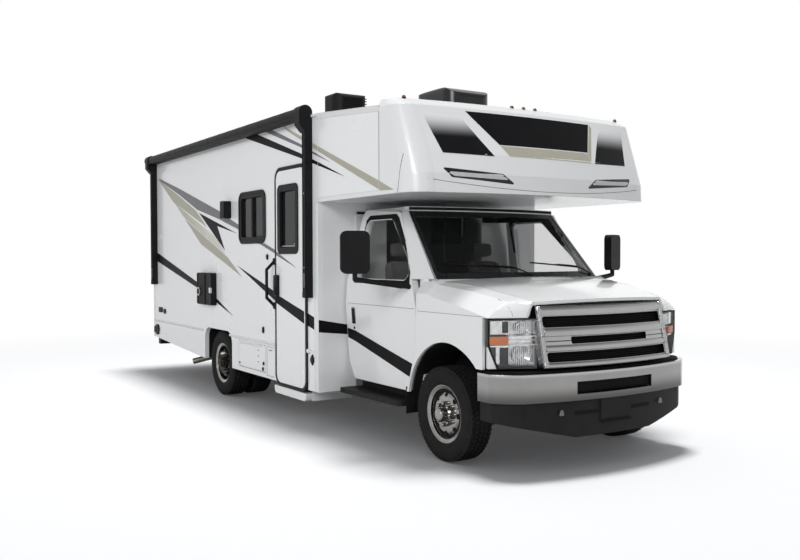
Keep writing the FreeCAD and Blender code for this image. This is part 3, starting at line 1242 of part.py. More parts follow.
def make_grille():
    """Bowed plate that leans back, with three slots cut right through it."""
    depth = size.grille_depth
    shape = grille_band(size.grille_bottom_height, size.grille_top_height, 0,
                        size.grille_half_width)
    slots = ((size.slot_top_low, size.slot_top_high, size.slot_half_width),
             (size.slot_middle_low, size.slot_middle_high, size.slot_middle_half_width),
             (size.slot_bottom_low, size.slot_bottom_high, size.slot_half_width))
    for low, high, half in slots:
        reach = size.grille_bow + size.grille_bottom_x
        slot = front_plate(rectangle((-half, half), (low, high), (high - low) / 4),
                           (size.grille_top_x - depth - size.grille_depth, reach))
        shape = shape.cut(slot)
    add_part("grille", shape)


def make_headlamps():
    """Lamps that wrap round the corners, carried with the grille by the radiator support."""
    inner_y = size.grille_half_width + size.fit_gap
    back = size.head_back_x
    lamp = flat_plate(((size.head_outer_x, size.head_outer_y, size.lamp_corner),
                       (size.head_inner_x, inner_y, 0), (back, inner_y, 0),
                       (back, size.head_outer_y, 0)), (size.head_bottom, size.head_top))
    below = front_plate(((size.head_chamfer_y, size.head_bottom, 0),
                         (size.head_outer_y, size.head_bottom, 0),
                         (size.head_outer_y, size.head_chamfer_height, 0)),
                        (back, size.head_inner_x))
    add_part("headlamps", both_sides(lamp.cut(below)))
    x_range = (back - size.support_thickness, back)
    low = size.rail_low + size.rail_height
    panel = block(x_range, (-size.support_half_width, size.support_half_width),
                  (low, size.support_top))
    opening = block(x_range, (-size.support_opening, size.support_opening),
                    (size.support_opening_low, size.support_opening_top))
    add_part("radiator_support", panel.cut(opening))


def bumper_solid(inset, z_range):
    """Solid bar with turned ends, drawn in by inset."""
    front, end = size.bumper_front_x - inset, size.bumper_end_x
    half = size.bumper_half_width - inset
    start = Vector(size.bumper_start_x, half, 0)
    middle = Vector(size.bumper_corner_x - inset * 2 / 3, size.bumper_corner_y - inset * 2 / 3, 0)
    stop = Vector(size.bumper_turn_x - inset, size.bumper_turn_y - inset / 3, 0)
    flip = lambda p: Vector(p.x, -p.y, p.z)
    face = Part.Face(Part.Wire([
        Part.makeLine(Vector(end, half, 0), start), arc_edge(start, middle, stop),
        arc_edge(stop, Vector(front, 0, 0), flip(stop)),
        arc_edge(flip(stop), flip(middle), flip(start)),
        Part.makeLine(flip(start), Vector(end, -half, 0)),
        Part.makeLine(Vector(end, -half, 0), Vector(end, half, 0))]))
    face.translate(Vector(0, 0, min(z_range)))
    return face.extrude(Vector(0, 0, max(z_range) - min(z_range)))


def make_bumper():
    skin, z_range = size.bumper_skin, (size.bumper_bottom, size.bumper_top)
    shell = bumper_solid(0, z_range).cut(bumper_solid(skin, z_range))
    slot = block((size.bumper_corner_x, size.bumper_front_x),
                 (-size.bumper_slot_half_width, size.bumper_slot_half_width),
                 (size.bumper_slot_low, size.bumper_slot_high))
    arm_y = (size.rail_half_width - size.rail_flange, size.rail_half_width)
    rail_top = size.rail_low + size.rail_height
    arm = block((size.rail_front_x, size.bumper_front_x), arm_y, (size.bumper_bottom, rail_top))
    arm = arm.common(bumper_solid(skin, z_range))
    add_part("front_bumper", shell.cut(slot).fuse([arm, mirrored(arm)]).removeSplitter())
    inset, thick = size.valance_inset, size.valance_skin
    low_range = (size.valance_low, size.bumper_bottom)
    lower = bumper_solid(inset, low_range).cut(bumper_solid(inset + thick, low_range))
    end_cut = front_plate(((size.bumper_half_width, size.valance_end_height, 0),
                           (size.bumper_half_width, 0, 0), (0, 0, 0),
                           (0, size.valance_low, 0),
                           (size.bumper_slot_half_width, size.valance_low, 0)),
                          (size.bumper_end_x, size.bumper_front_x))
    lower = lower.cut([end_cut, mirrored(end_cut)])
    valance_x = size.bumper_front_x - inset
    plate = block((valance_x - size.plate_thickness * 2, valance_x + size.plate_thickness / 2),
                  (-size.plate_half_width, size.plate_half_width),
                  (size.plate_low, size.bumper_bottom))
    holes = []
    for y in (-size.plate_hole_spacing / 2, size.plate_hole_spacing / 2):
        at = Vector(size.bumper_corner_x, y, size.plate_hole_height)
        holes.append(cylinder(at, at + Vector(size.bumper_front_x - size.bumper_corner_x, 0, 0),
                              size.plate_hole_radius))
    add_part("front_valance", lower.fuse(plate).cut(holes).removeSplitter())


# Cab fittings

def make_mirrors():
    """Swept-back heads on stems, each held by two arms from its door."""
    x, y, z = size.mirror_x, size.mirror_y, size.mirror_z
    half_w, half_h, depth = size.mirror_width / 2, size.mirror_height / 2, size.mirror_depth
    head = front_plate(rectangle((y - half_w, y + half_w), (z - half_h, z + half_h),
                                 size.mirror_radius), (x - depth / 2, x + depth / 2))
    head.rotate(Vector(x, y, 0), Vector(0, 0, 1), size.mirror_sweep)
    radius = size.mirror_arm_radius
    foot = Vector(x, y, z - half_h - size.mirror_stem)
    root_y = size.cab_half_width - size.door_thickness / 2
    root_z = size.belt_height - radius * 2
    bars = [cylinder(foot, foot + Vector(0, 0, size.mirror_stem + radius), radius),
            Part.makeSphere(radius, foot)]
    for offset in (0, size.mirror_arm_spread):
        bars.append(cylinder(Vector(x + offset, root_y, root_z), foot, radius))
    shape = head.fuse(bars).cut(doc.getObject("cab_door_left").Shape)
    shape = max(shape.Solids, key=lambda solid: solid.Volume)
    add_part("mirror_left", shape)
    add_part("mirror_right", mirrored(shape))


def make_boards():
    thick, outer = size.board_thickness, size.board_outer_y
    board = flat_plate(((size.board_rear_x, size.board_inner_y, 0),
                        (size.board_rear_x, outer, thick), (size.board_front_x, outer - thick, thick),
                        (size.board_front_x, size.board_inner_y, 0)),
                       (size.board_height - thick, size.board_height))
    riser = block((size.board_rear_x, size.board_front_x),
                  (size.board_inner_y - size.board_thickness, size.board_inner_y),
                  (size.board_height - size.board_thickness, size.cab_sill))
    add_part("running_boards", both_sides(board.fuse(riser).removeSplitter()))


def make_cabin():
    low, top = size.dash_low, size.dash_top
    rear, front = size.dash_rear_x, size.dash_front_x
    corner = size.mirror_radius
    dash = side_plate(((rear, low, 0), (size.firewall_x, low, 0), (size.firewall_x, top, 0),
                       (rear + (front - rear) / 2, top, corner),
                       (rear, top - (top - low) / 4, corner)),
                      (-size.dash_half_width, size.dash_half_width))
    add_part("dashboard", dash)
    centre = Vector(size.wheel_x, size.wheel_y, size.wheel_z)
    tilt = math.radians(size.wheel_tilt)
    axis = Vector(math.cos(tilt), 0, -math.sin(tilt))
    ring = Part.makeTorus(size.wheel_radius, size.wheel_rim_radius, centre, axis)
    column = cylinder(centre, centre + axis * (size.wheel_radius * 2), size.wheel_rim_radius * 2)
    hub = cylinder(centre - axis * size.wheel_rim_radius, centre + axis * (size.wheel_rim_radius * 2),
                   size.wheel_rim_radius * 4)
    spoke = block((-size.wheel_rim_radius / 2, size.wheel_rim_radius / 2),
                  (-size.wheel_radius, size.wheel_radius),
                  (-size.wheel_rim_radius, size.wheel_rim_radius))
    spoke.rotate(Vector(0, 0, 0), Vector(0, 1, 0), size.wheel_tilt)
    spoke.translate(centre)
    shape = ring.fuse([column, hub, spoke]).cut(doc.getObject("dashboard").Shape)
    shape = max(shape.Solids, key=lambda solid: solid.BoundBox.DiagonalLength)
    add_part("steering_wheel", shape)
    base = size.cab_floor + size.cab_skin
    x, y, half = size.seat_x, size.seat_y, size.seat_width / 2
    seat_z = base + size.seat_base_height
    pedestal = block((x + half / 4, x + size.seat_length - half / 4),
                     (y - half * 3 / 4, y + half * 3 / 4), (base, seat_z))
    cushion = side_plate(rectangle((x, x + size.seat_length), (seat_z, seat_z + size.seat_cushion),
                                   size.mirror_radius), (y - half, y + half))
    lean = math.tan(math.radians(size.seat_back_lean))
    back_top = seat_z + size.seat_back_height
    thick = size.seat_back_thickness
    shift = lean * size.seat_back_height
    back = side_plate(((x, seat_z, 0), (x + thick, seat_z, 0),
                       (x + thick - shift / 2, back_top, size.mirror_radius),
                       (x - shift / 2, back_top, size.mirror_radius)), (y - half, y + half))
    head_x = x - shift / 2
    rest = side_plate(rectangle((head_x, head_x + size.headrest_thickness),
                                (back_top - size.rail_web, back_top + size.headrest_height),
                                size.wheel_rim_radius * 2),
                      (y - size.headrest_width / 2, y + size.headrest_width / 2))
    add_part("seat_pedestals", both_sides(pedestal))
    seat = cushion.fuse([back, rest]).removeSplitter()
    add_part("cab_seats", both_sides(seat))


make_wheels()
make_chassis_frame()
make_driveline()
make_fuel_tank()
make_exhaust()
make_front_axle()
add_part("knuckle_left", make_knuckle(1))
add_part("knuckle_right", make_knuckle(-1))
make_rear_axle()
make_leaf_springs()
make_house_walls()
make_house_floor()
make_house_roof()
make_house_bulkhead()
make_front_cap()
make_house_glass()
make_entry_door()
make_step_well()
make_baggage_door()
make_awning()
make_side_fittings()
make_rear()
make_roof_units()
make_cab_doors()
make_windshield()
make_cab_shell()
make_hood()
make_fenders()
make_grille()
make_headlamps()
make_bumper()
make_mirrors()
make_boards()
make_cabin()
doc.recompute()

for part in doc.Objects:
    if "Invalid" in part.State or "Error" in part.State:
        raise RuntimeError("%s did not build" % part.Label)
    if part.TypeId != "Part::Feature":
        continue
    if part.Shape.isNull() or not part.Shape.isValid():
        raise RuntimeError("%s has a bad shape" % part.Label)
    part.Shape.exportStep("parts/%s.step" % part.Label)
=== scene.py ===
"""Dressed model of a cab-over motorhome, laid out as a Blender add-on.

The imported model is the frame. Each operator finishes or adds one group of pieces in the same
frame: metres, +X forward, +Y the driver's side, +Z up, the ground at z = 0.
"""

import math

import bmesh
import bpy
from bpy.props import FloatProperty, FloatVectorProperty, IntProperty, PointerProperty
from mathutils import Matrix, Vector
from mathutils.bvhtree import BVHTree


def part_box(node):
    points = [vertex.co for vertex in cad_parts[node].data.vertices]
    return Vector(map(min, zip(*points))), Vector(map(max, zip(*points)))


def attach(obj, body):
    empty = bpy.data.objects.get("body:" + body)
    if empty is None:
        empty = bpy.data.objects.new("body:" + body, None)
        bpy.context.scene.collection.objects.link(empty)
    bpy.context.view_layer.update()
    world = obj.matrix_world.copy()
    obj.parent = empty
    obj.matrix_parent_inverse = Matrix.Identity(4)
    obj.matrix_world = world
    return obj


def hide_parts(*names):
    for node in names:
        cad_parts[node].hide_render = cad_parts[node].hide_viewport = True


bl_info = {
    "name": "Cab-over motorhome",
    "version": (1, 0, 0),
    "blender": (4, 5, 0),
    "location": "3D View > Sidebar > Motorhome",
    "description": "Dresses the packed motorhome with finishes, graphics, trim, lamps and tyres",
    "category": "Object",
}

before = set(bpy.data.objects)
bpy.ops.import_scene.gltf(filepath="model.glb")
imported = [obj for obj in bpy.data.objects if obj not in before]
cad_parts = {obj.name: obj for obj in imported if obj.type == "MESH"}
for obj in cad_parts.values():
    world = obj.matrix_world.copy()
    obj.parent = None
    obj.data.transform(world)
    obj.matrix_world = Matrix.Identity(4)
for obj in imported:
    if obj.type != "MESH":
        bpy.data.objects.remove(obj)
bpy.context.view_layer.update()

X, Y, Z = Vector((1, 0, 0)), Vector((0, 1, 0)), Vector((0, 0, 1))
SIDES = (("right", -1), ("left", 1))
WALL_Y = -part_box("house_wall_left")[1].y
ON_WALL = WALL_Y + 0.0005
FURNACE_Y = WALL_Y - 0.060
DOOR_Y = -1.282
FRONT_AXLE_X, REAR_AXLE_X, AXLE_Z = 2.840, -1.173, 0.368
ARCH_X, ARCH_Z = 2.902, 0.413
LENS_CORNER = Vector((3.550, 0.650, 0))
LENS_ALONG, LENS_INWARD = Vector((-0.402, 0.916, 0)), Vector((-0.916, -0.402, 0))
GRILLE_HALF, GRILLE_BOW, GRILLE_LEAN, GRILLE_X, GRILLE_FOOT = 0.65, 0.07, -0.2295, 3.625, 0.781
AWNING_Y, AWNING_Z = -1.332, 2.876


# Shapes

def rounded(corners, radius=0.0, steps=5):
    """Flat outline with rounded corners; a third number in a corner is its own radius."""
    points = []
    for index, corner in enumerate(corners):
        here = Vector(corner[:2])
        size = corner[2] if len(corner) > 2 else radius
        if size <= 0:
            points.append(tuple(here))
            continue
        back = (Vector(corners[index - 1][:2]) - here).normalized()
        ahead = (Vector(corners[(index + 1) % len(corners)][:2]) - here).normalized()
        half = back.angle(ahead) / 2
        centre = here + (back + ahead).normalized() * (size / math.sin(half))
        run = size / math.tan(half)
        start, end = here + back * run - centre, here + ahead * run - centre
        sweep = start.angle(end)
        for step in range(steps + 1):
            share = step / steps
            arm = start * math.sin((1 - share) * sweep) + end * math.sin(share * sweep)
            points.append(tuple(centre + arm / math.sin(sweep)))
    return points


def rectangle(u_low, u_high, v_low, v_high):
    return [(u_low, v_low), (u_high, v_low), (u_high, v_high), (u_low, v_high)]


def soft(u_low, u_high, v_low, v_high, radius, steps=5):
    return rounded(rectangle(u_low, u_high, v_low, v_high), radius, steps)


def bands(shape, loops, around=True, through=True):
    """Faces between loops of vertices; around closes each loop, through the row of loops."""
    pairs = list(zip(loops, loops[1:] + loops[:1])) if through else list(zip(loops, loops[1:]))
    count = len(loops[0])
    for here, there in pairs:
        for index in range(count if around else count - 1):
            following = (index + 1) % count
            shape.faces.new((here[index], here[following], there[following], there[index]))


def prism(shape, outline, origin, u, v, depth, bevel=0.0):
    """Outline in the plane of u and v, pushed by depth along u x v, with its front edge eased."""
    origin, u, v = Vector(origin), Vector(u), Vector(v)
    outward = u.cross(v)
    points = [origin + u * a + v * b for a, b in outline]
    low = [shape.verts.new(point) for point in points]
    high = [shape.verts.new(point + outward * depth) for point in points]
    shape.faces.new(low[::-1])
    front = shape.faces.new(high)
    bands(shape, [low, high], through=False)
    if bevel:
        bmesh.ops.bevel(shape, geom=list(front.edges), offset=bevel, segments=2,
                        profile=0.5, affect="EDGES")


def plate(shape, box, depth, bevel=0.0, wall=ON_WALL):
    """Rectangle on a near side wall: box is x low, x high, z low, z high and corner radius."""
    outline = soft(*box) if len(box) > 4 else rectangle(*box)
    prism(shape, outline, (0, wall, 0), X, Z, depth, bevel)


def back_plate(shape, middle, half, z_low, z_high, radius, x, depth, bevel=0.0):
    """Rectangle about middle on a face that looks backward."""
    outline = rectangle(-middle - half, -middle + half, z_low, z_high)
    prism(shape, rounded(outline, radius) if radius else outline, (x, 0, 0), -Y, Z, depth, bevel)


def ring(shape, outer, inner, origin, u, v, depth):
    """Band between two outlines that have the same number of points."""
    origin, u, v = Vector(origin), Vector(u), Vector(v)
    push = u.cross(v) * depth
    bands(shape, [[shape.verts.new(origin + u * a + v * b + push * lift) for a, b in outline]
                  for outline, lift in ((outer, 0), (outer, 1), (inner, 1), (inner, 0))])


def wall_ring(shape, outer, inner, depth, wall=ON_WALL):
    """Frame on a near side wall between two boxes like plate's."""
    ring(shape, soft(*outer), soft(*inner), (0, wall, 0), X, Z, depth)


def slab(shape, low, high, bevel=0.004):
    """Box between two corners with every edge eased."""
    low, high = Vector(low), Vector(high)
    middle, span = (low + high) / 2, high - low
    made = bmesh.ops.create_cube(shape, size=1.0)["verts"]
    for vert in made:
        vert.co = middle + vert.co * span
    edges = list({edge for vert in made for edge in vert.link_edges})
    bmesh.ops.bevel(shape, geom=edges, offset=min(bevel, min(span) * 0.45), segments=2,
                    profile=0.5, affect="EDGES")


def turned(shape, profile, centre, axis=Y, steps=48, closed=True):
    """Profile of (along, radius) points turned about an axis through centre."""
    centre, axis = Vector(centre), Vector(axis).normalized()
    side = axis.orthogonal().normalized()
    up = axis.cross(side)
    rings = []
    for step in range(steps):
        angle = 2 * math.pi * step / steps
        arm = side * math.cos(angle) + up * math.sin(angle)
        rings.append([shape.verts.new(centre + axis * along + arm * radius)
                      for along, radius in profile])
    bands(shape, rings, around=closed)
    if not closed:
        for index in (0, -1):
            shape.faces.new([loop[index] for loop in rings])


def knob(shape, centre, axis, radius, height, steps=16):
    """Low dome that stands on a surface."""
    turned(shape, [(0, radius), (height * 0.45, radius), (height * 0.8, radius * 0.82),
                   (height, radius * 0.5)], centre, axis, steps, closed=False)


def tube(shape, points, radius, steps=12, flatten=1.0):
    """Bar that follows points, with closed ends."""
    points = [Vector(point) for point in points]
    side = (points[1] - points[0]).orthogonal().normalized()
    rings = []
    for index, point in enumerate(points):
        before, after = points[max(index - 1, 0)], points[min(index + 1, len(points) - 1)]
        along = (after - before).normalized()
        side = (side - along * side.dot(along)).normalized()
        up = along.cross(side)
        rings.append([shape.verts.new(point + side * (radius * math.cos(a))
                                      + up * (radius * flatten * math.sin(a)))
                      for a in (2 * math.pi * step / steps for step in range(steps))])
    bands(shape, rings, through=False)
    shape.faces.new(rings[0][::-1])
    shape.faces.new(rings[-1])


def bowed(points, rounds=3):
    """The same path with its corners cut softer, round after round."""
    points = [Vector(point) for point in points]
    for _ in range(rounds):
        softer = [points[0]]
        for here, there in zip(points, points[1:]):
            softer += [here.lerp(there, 0.25), here.lerp(there, 0.75)]
        points = softer + [points[-1]]
    return points


def surface(node):
    return BVHTree.FromObject(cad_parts[node], bpy.context.evaluated_depsgraph_get())


def drape(shape, outline, node, cast, lift=0.0012, cell=0.05, start=-6.0):
    """Thin sheet cut to outline and laid on a solid, seen along the cast direction.
    An outline seen along X is in (y, z), along Y in (x, z) and along Z in (x, y)."""
    cast = Vector(cast)
    axes = {0: (Y, Z), 1: (X, Z), 2: (X, Y)}[max(range(3), key=lambda i: abs(cast[i]))]
    sheet = bmesh.new()
    sheet.faces.new([sheet.verts.new(cast * start + axes[0] * a + axes[1] * b)
                     for a, b in outline])
    for axis, values in zip(axes, zip(*outline)):
        low, high = min(values), max(values)
        for step in range(1, max(1, math.ceil((high - low) / cell))):
            geometry = sheet.verts[:] + sheet.edges[:] + sheet.faces[:]
            bmesh.ops.bisect_plane(sheet, geom=geometry, plane_co=axis * (low + step * cell),
                                   plane_no=axis)
    bmesh.ops.triangulate(sheet, faces=sheet.faces[:])
    tree = surface(node)
    missed = []
    for vert in sheet.verts:
        hit = tree.ray_cast(vert.co, cast)[0]
        if hit is None:
            missed.append(vert)
        else:
            vert.co = hit - cast * lift
    bmesh.ops.delete(sheet, geom=missed, context="VERTS")
    for item in bmesh.ops.extrude_face_region(sheet, geom=sheet.faces[:])["geom"]:
        if isinstance(item, bmesh.types.BMVert):
            item.co += cast * (lift * 1.5)
    joined(shape, meshed(sheet))


def mirrored(shape):
    """Adds the same geometry on the other side of the vehicle."""
    made = bmesh.ops.duplicate(shape, geom=shape.verts[:] + shape.edges[:] + shape.faces[:])
    for item in made["geom"]:
        if isinstance(item, bmesh.types.BMVert):
            item.co.y = -item.co.y
    bmesh.ops.reverse_faces(shape, faces=[item for item in made["geom"]
                                          if isinstance(item, bmesh.types.BMFace)])


def meshed(shape, name="shape"):
    """Turns a shape into a mesh and drops the shape."""
    mesh = bpy.data.meshes.new(name)
    shape.to_mesh(mesh)
    shape.free()
    return mesh


def joined(shape, mesh):
    """Adds a mesh to a shape and drops the mesh."""
    shape.from_mesh(mesh)
    bpy.data.meshes.remove(mesh)


def built(parts):
    """A shape from rows of a function and its values; each row adds to the shape."""
    shape = bmesh.new()
    for function, *values in parts:
        function(shape, *values)
    return shape


def make(name, finish, *parts, body="chassis", slot=None, smooth=35.0):
    """Puts a piece of several parts in the scene under its own name, on its body."""
    shape = built(parts)
    bmesh.ops.recalc_face_normals(shape, faces=shape.faces[:])
    return add_mesh(name, meshed(shape, name), finish, body, smooth)


def add_mesh(name, mesh, finish, body="chassis", smooth=35.0):
    mesh.materials.clear()
    mesh.materials.append(look(finish))
    mesh.shade_smooth()
    mesh.set_sharp_from_angle(angle=math.radians(smooth))
    piece = bpy.data.objects.new(name, mesh)
    bpy.context.scene.collection.objects.link(piece)
    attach(piece, body)
    return piece


# Nodes

class Web:
    """Adds nodes to one tree: values and links go in by socket name, settings by keyword."""

    def __init__(self, tree):
        self.nodes, self.link = tree.nodes, tree.links.new

    def add(self, kind, inputs=(), **settings):
        node = self.nodes.new(kind)
        for name, value in settings.items():
            setattr(node, name, value)
        self.fill(node, inputs)
        return node

    def fill(self, node, inputs):
        for label, value in dict(inputs).items():
            if isinstance(value, bpy.types.NodeSocket):
                self.link(value, node.inputs[label])
            else:
                node.inputs[label].default_value = value

    def shade(self, kind, output, inputs=(), **settings):
        return self.add("ShaderNode" + kind, inputs, **settings).outputs[output]

    def place(self):
        return self.shade("TexCoord", "Object")

    def math(self, operation, first, second):
        return self.shade("Math", "Value", {0: first, 1: second}, operation=operation)

    def mix(self, factor, first, second):
        return self.shade("Mix", "Result", {"A": first, "B": second, "Factor": factor},
                          data_type="RGBA")

    def span(self, value, low, high, to_low=0.0, to_high=1.0, kind="LINEAR"):
        return self.shade("MapRange", "Result", {
            "From Min": low, "From Max": high, "To Min": to_low, "To Max": to_high,
            "Value": value}, interpolation_type=kind)

    def bump(self, height, strength, distance, normal=None):
        inputs = {"Strength": strength, "Distance": distance, "Height": height}
        if normal:
            inputs["Normal"] = normal
        return self.shade("Bump", "Normal", inputs)


def new_material(name):
    material = bpy.data.materials.new(name)
    material.use_nodes = True
    web = Web(material.node_tree)
    return material, web, web.nodes["Principled BSDF"]


def new_tree(name, sockets):
    """Geometry node tree with named inputs, its source and a function that paints the result."""
    tree = bpy.data.node_groups.new(name, "GeometryNodeTree")
    for label, kind, value in (("Geometry", "Geometry", None), *sockets,
                               ("Finish", "Material", None)):
        socket = tree.interface.new_socket(label, in_out="INPUT", socket_type="NodeSocket" + kind)
        if value is not None:
            socket.default_value = value
    tree.interface.new_socket("Geometry", in_out="OUTPUT", socket_type="NodeSocketGeometry")
    web = Web(tree)
    source = web.add("NodeGroupInput").outputs

    def paint(geometry):
        painted = web.add("GeometryNodeSetMaterial", {"Geometry": geometry,
                                                      "Material": source["Finish"]})
        web.add("NodeGroupOutput", {"Geometry": painted.outputs["Geometry"]})

    return web, source, paint


def realized(web, points, instance, rotation=None):
    inputs = {"Points": points, "Instance": instance}
    if rotation:
        inputs["Rotation"] = rotation
    place = web.add("GeometryNodeInstanceOnPoints", inputs)
    return web.add("GeometryNodeRealizeInstances",
                   {"Geometry": place.outputs["Instances"]}).outputs["Geometry"]


def turn_tree():
    """Repeats the incoming shape, turned about Y, and moves the lot to its centre."""
    web, source, paint = new_tree("Repeat round Y", (
        ("Count", "Int", 8), ("Turn", "Float", 0.785), ("Centre", "Vector", (0, 0, 0))))
    points = web.add("GeometryNodePoints", {"Count": source["Count"]}).outputs["Geometry"]
    angle = web.math("MULTIPLY", web.add("GeometryNodeInputIndex").outputs["Index"],
                     source["Turn"])
    spin = web.shade("CombineXYZ", "Vector", {"Y": angle})
    whole = realized(web, points, source["Geometry"], spin)
    paint(web.add("GeometryNodeTransform", {"Geometry": whole, "Translation": source["Centre"]})
          .outputs["Geometry"])


def row_tree():
    """Repeats the incoming shape step by step in a row."""
    web, source, paint = new_tree("Repeat in a row", (("Count", "Int", 8),
                                                      ("Step", "Vector", (0.1, 0, 0))))
    offset = web.shade("VectorMath", "Vector", {
        0: source["Step"], "Scale": web.add("GeometryNodeInputIndex").outputs["Index"]},
        operation="SCALE")
    points = web.add("GeometryNodePoints", {"Count": source["Count"], "Position": offset})
    paint(realized(web, points.outputs["Geometry"], source["Geometry"]))


def studs_tree():
    """Small domed heads at even steps along the incoming edges."""
    web, source, paint = new_tree("Studs along a path", (
        ("Spacing", "Float", 0.15), ("Radius", "Float", 0.004), ("Facing", "Vector", (0, 0, 0))))
    curve = web.add("GeometryNodeMeshToCurve", {"Mesh": source["Geometry"]})
    even = web.add("GeometryNodeResampleCurve", {"Curve": curve.outputs["Curve"],
                                                 "Length": source["Spacing"]}, mode="LENGTH")
    head = web.add("GeometryNodeMeshCone", {
        "Vertices": 8, "Radius Bottom": source["Radius"],
        "Radius Top": web.math("MULTIPLY", source["Radius"], 0.55),
        "Depth": web.math("MULTIPLY", source["Radius"], 0.5)})
    paint(realized(web, even.outputs["Curve"], head.outputs["Mesh"], source["Facing"]))


def grown(shape, parts, tree_name, finish, **values):
    """Adds what a geometry node tree makes of the parts, or of a shape in their place."""
    mesh = meshed(built(parts) if isinstance(parts, (list, tuple)) else parts)
    carrier = bpy.data.objects.new("carrier", mesh)
    bpy.context.scene.collection.objects.link(carrier)
    modifier = carrier.modifiers.new("grow", "NODES")
    modifier.node_group = tree = bpy.data.node_groups[tree_name]
    values["Finish"] = look(finish)
    for item in tree.interface.items_tree:
        if item.in_out == "INPUT" and item.name in values:
            modifier[item.identifier] = values[item.name]
    evaluated = carrier.evaluated_get(bpy.context.evaluated_depsgraph_get())
    result = bpy.data.meshes.new_from_object(evaluated)
    bpy.data.objects.remove(carrier)
    joined(shape, result)


def row(shape, finish, count, step, *part):
    """One part again and again in a row."""
    grown(shape, [part], "Repeat in a row", finish, Count=count, Step=Vector(step))


def studs(shape, paths, spacing, radius, finish):
    """Screw heads on a near side wall along straight paths."""
    line = bmesh.new()
    for start, end in paths:
        line.edges.new((line.verts.new(start), line.verts.new(end)))
    grown(shape, line, "Studs along a path", finish, Spacing=spacing, Radius=radius,
          Facing=(math.pi / 2, 0, 0))


# Finishes

def look(name):
    return bpy.data.materials["coach_" + name]


def finish(name, colour, roughness, mottle=(3.0, 0.04), grain=(220.0, 0.03), uneven=0.06,
           metallic=0.0, coat=0.0, dust=0.0, alpha=1.0, sheen=0.0, soften=0.0, shine=0.5):
    """Procedural finish: colour that varies, uneven gloss, a fine grain and road dust low down."""
    material, web, shader = new_material("coach_" + name)
    place = web.place()
    cloud = web.shade("TexNoise", "Fac", {"Scale": mottle[0], "Detail": 5, "Vector": place})
    tone = web.mix(cloud, (*(c * (1 - mottle[1]) for c in colour), 1),
                   (*(min(1, c * (1 + mottle[1])) for c in colour), 1))
    if dust:
        height = web.shade("SeparateXYZ", "Z", {0: place})
        patchy = web.math("MULTIPLY", web.span(height, 0.25, 1.1, dust, 0), cloud)
        tone = web.mix(patchy, tone, (0.36, 0.33, 0.29, 1))
    fine = web.shade("TexNoise", "Fac", {"Scale": grain[0], "Detail": 3, "Vector": place})
    edge = web.shade("Bevel", "Normal", {"Radius": soften}, samples=4) if soften else None
    web.fill(shader, {
        "Metallic": metallic, "Coat Weight": coat, "Coat Roughness": 0.06, "Alpha": alpha,
        "Sheen Weight": sheen, "Specular IOR Level": shine, "Base Color": tone,
        "Roughness": web.span(cloud, 0, 1, max(0.01, roughness - uneven),
                              min(1.0, roughness + uneven)),
        "Normal": web.bump(fine, grain[1], 0.002, edge)})
    return material


def add_pattern(material, kind, scale, strength, turn=(0, 0, 0), stretch=(1, 1, 1)):
    """A second relief over a finish: weave, ribs or pebbles."""
    web = Web(material.node_tree)
    place = web.shade("Mapping", "Vector", {"Rotation": turn, "Scale": stretch,
                                            "Vector": web.place()})
    if kind == "waves":
        height = web.shade("TexWave", "Fac", {"Distortion": 0.4, "Scale": scale, "Vector": place})
    else:
        height = web.shade("TexVoronoi", "Distance", {"Scale": scale, "Vector": place})
    normal = web.nodes["Principled BSDF"].inputs["Normal"]
    web.link(web.bump(height, strength, 0.0015, normal.links[0].from_socket), normal)


def fade(material, low, high, far_colour):
    """Runs the finish's colour over to far_colour from one height to another."""
    web = Web(material.node_tree)
    colour = web.nodes["Principled BSDF"].inputs["Base Color"]
    height = web.shade("SeparateXYZ", "Z", {0: web.place()})
    share = web.span(height, low, high, kind="SMOOTHSTEP")
    web.link(web.mix(share, colour.links[0].from_socket, (*far_colour, 1)), colour)


# Settings

def colour_setting(name, description, default):
    return FloatVectorProperty(name=name, description=description, subtype="COLOR", size=3,
                               min=0, max=1, default=default)


def length_setting(name, description, default, low, high):
    return FloatProperty(name=name, description=description, default=default, min=low, max=high,
                         unit="LENGTH")


def angle_setting(name, description, degrees):
    return FloatProperty(name=name, description=description, default=math.radians(degrees),
                         subtype="ANGLE")


class MotorhomeColours(bpy.types.PropertyGroup):
    body: colour_setting("House body", "Gel coat of the house walls and cap", (0.80, 0.81, 0.815))
    cab: colour_setting("Cab paint", "Paint of the cab, doors, hood and fenders",
                        (0.745, 0.755, 0.755))
    stripe: colour_setting("Black graphics", "Black film of the stripes", (0.008, 0.008, 0.009))
    swoosh: colour_setting("Grey graphics", "Dark grey film", (0.145, 0.14, 0.155))
    khaki: colour_setting("Khaki graphics", "Khaki film", (0.40, 0.385, 0.31))
    plastic: colour_setting("Black plastic", "Moulded black trim", (0.011, 0.011, 0.012))
    tint: colour_setting("Window tint", "Colour of the tinted windows", (0.012, 0.014, 0.015))
    seats: colour_setting("Seat cloth", "Woven cloth of the cab seats", (0.13, 0.125, 0.12))


class MotorhomeSizes(bpy.types.PropertyGroup):
    film_lift: length_setting("Film lift", "How far graphics stand off the wall",
                              0.0012, 0.0004, 0.003)
    screw_radius: length_setting("Screw head", "Radius of the trim screws", 0.0045, 0.002, 0.01)
    screw_spacing: length_setting("Screw spacing", "Distance between trim screws",
                                  0.15, 0.05, 0.5)
    tread_pitches: IntProperty(name="Tread pitches", description="Blocks round each tyre",
                               default=60, min=24, max=90)
    tread_depth: length_setting("Tread depth", "Depth of the tyre grooves", 0.0095, 0.003, 0.014)
    lens_height: length_setting("Clearance lamp height", "Height of the roof lamps",
                                0.02, 0.01, 0.03)


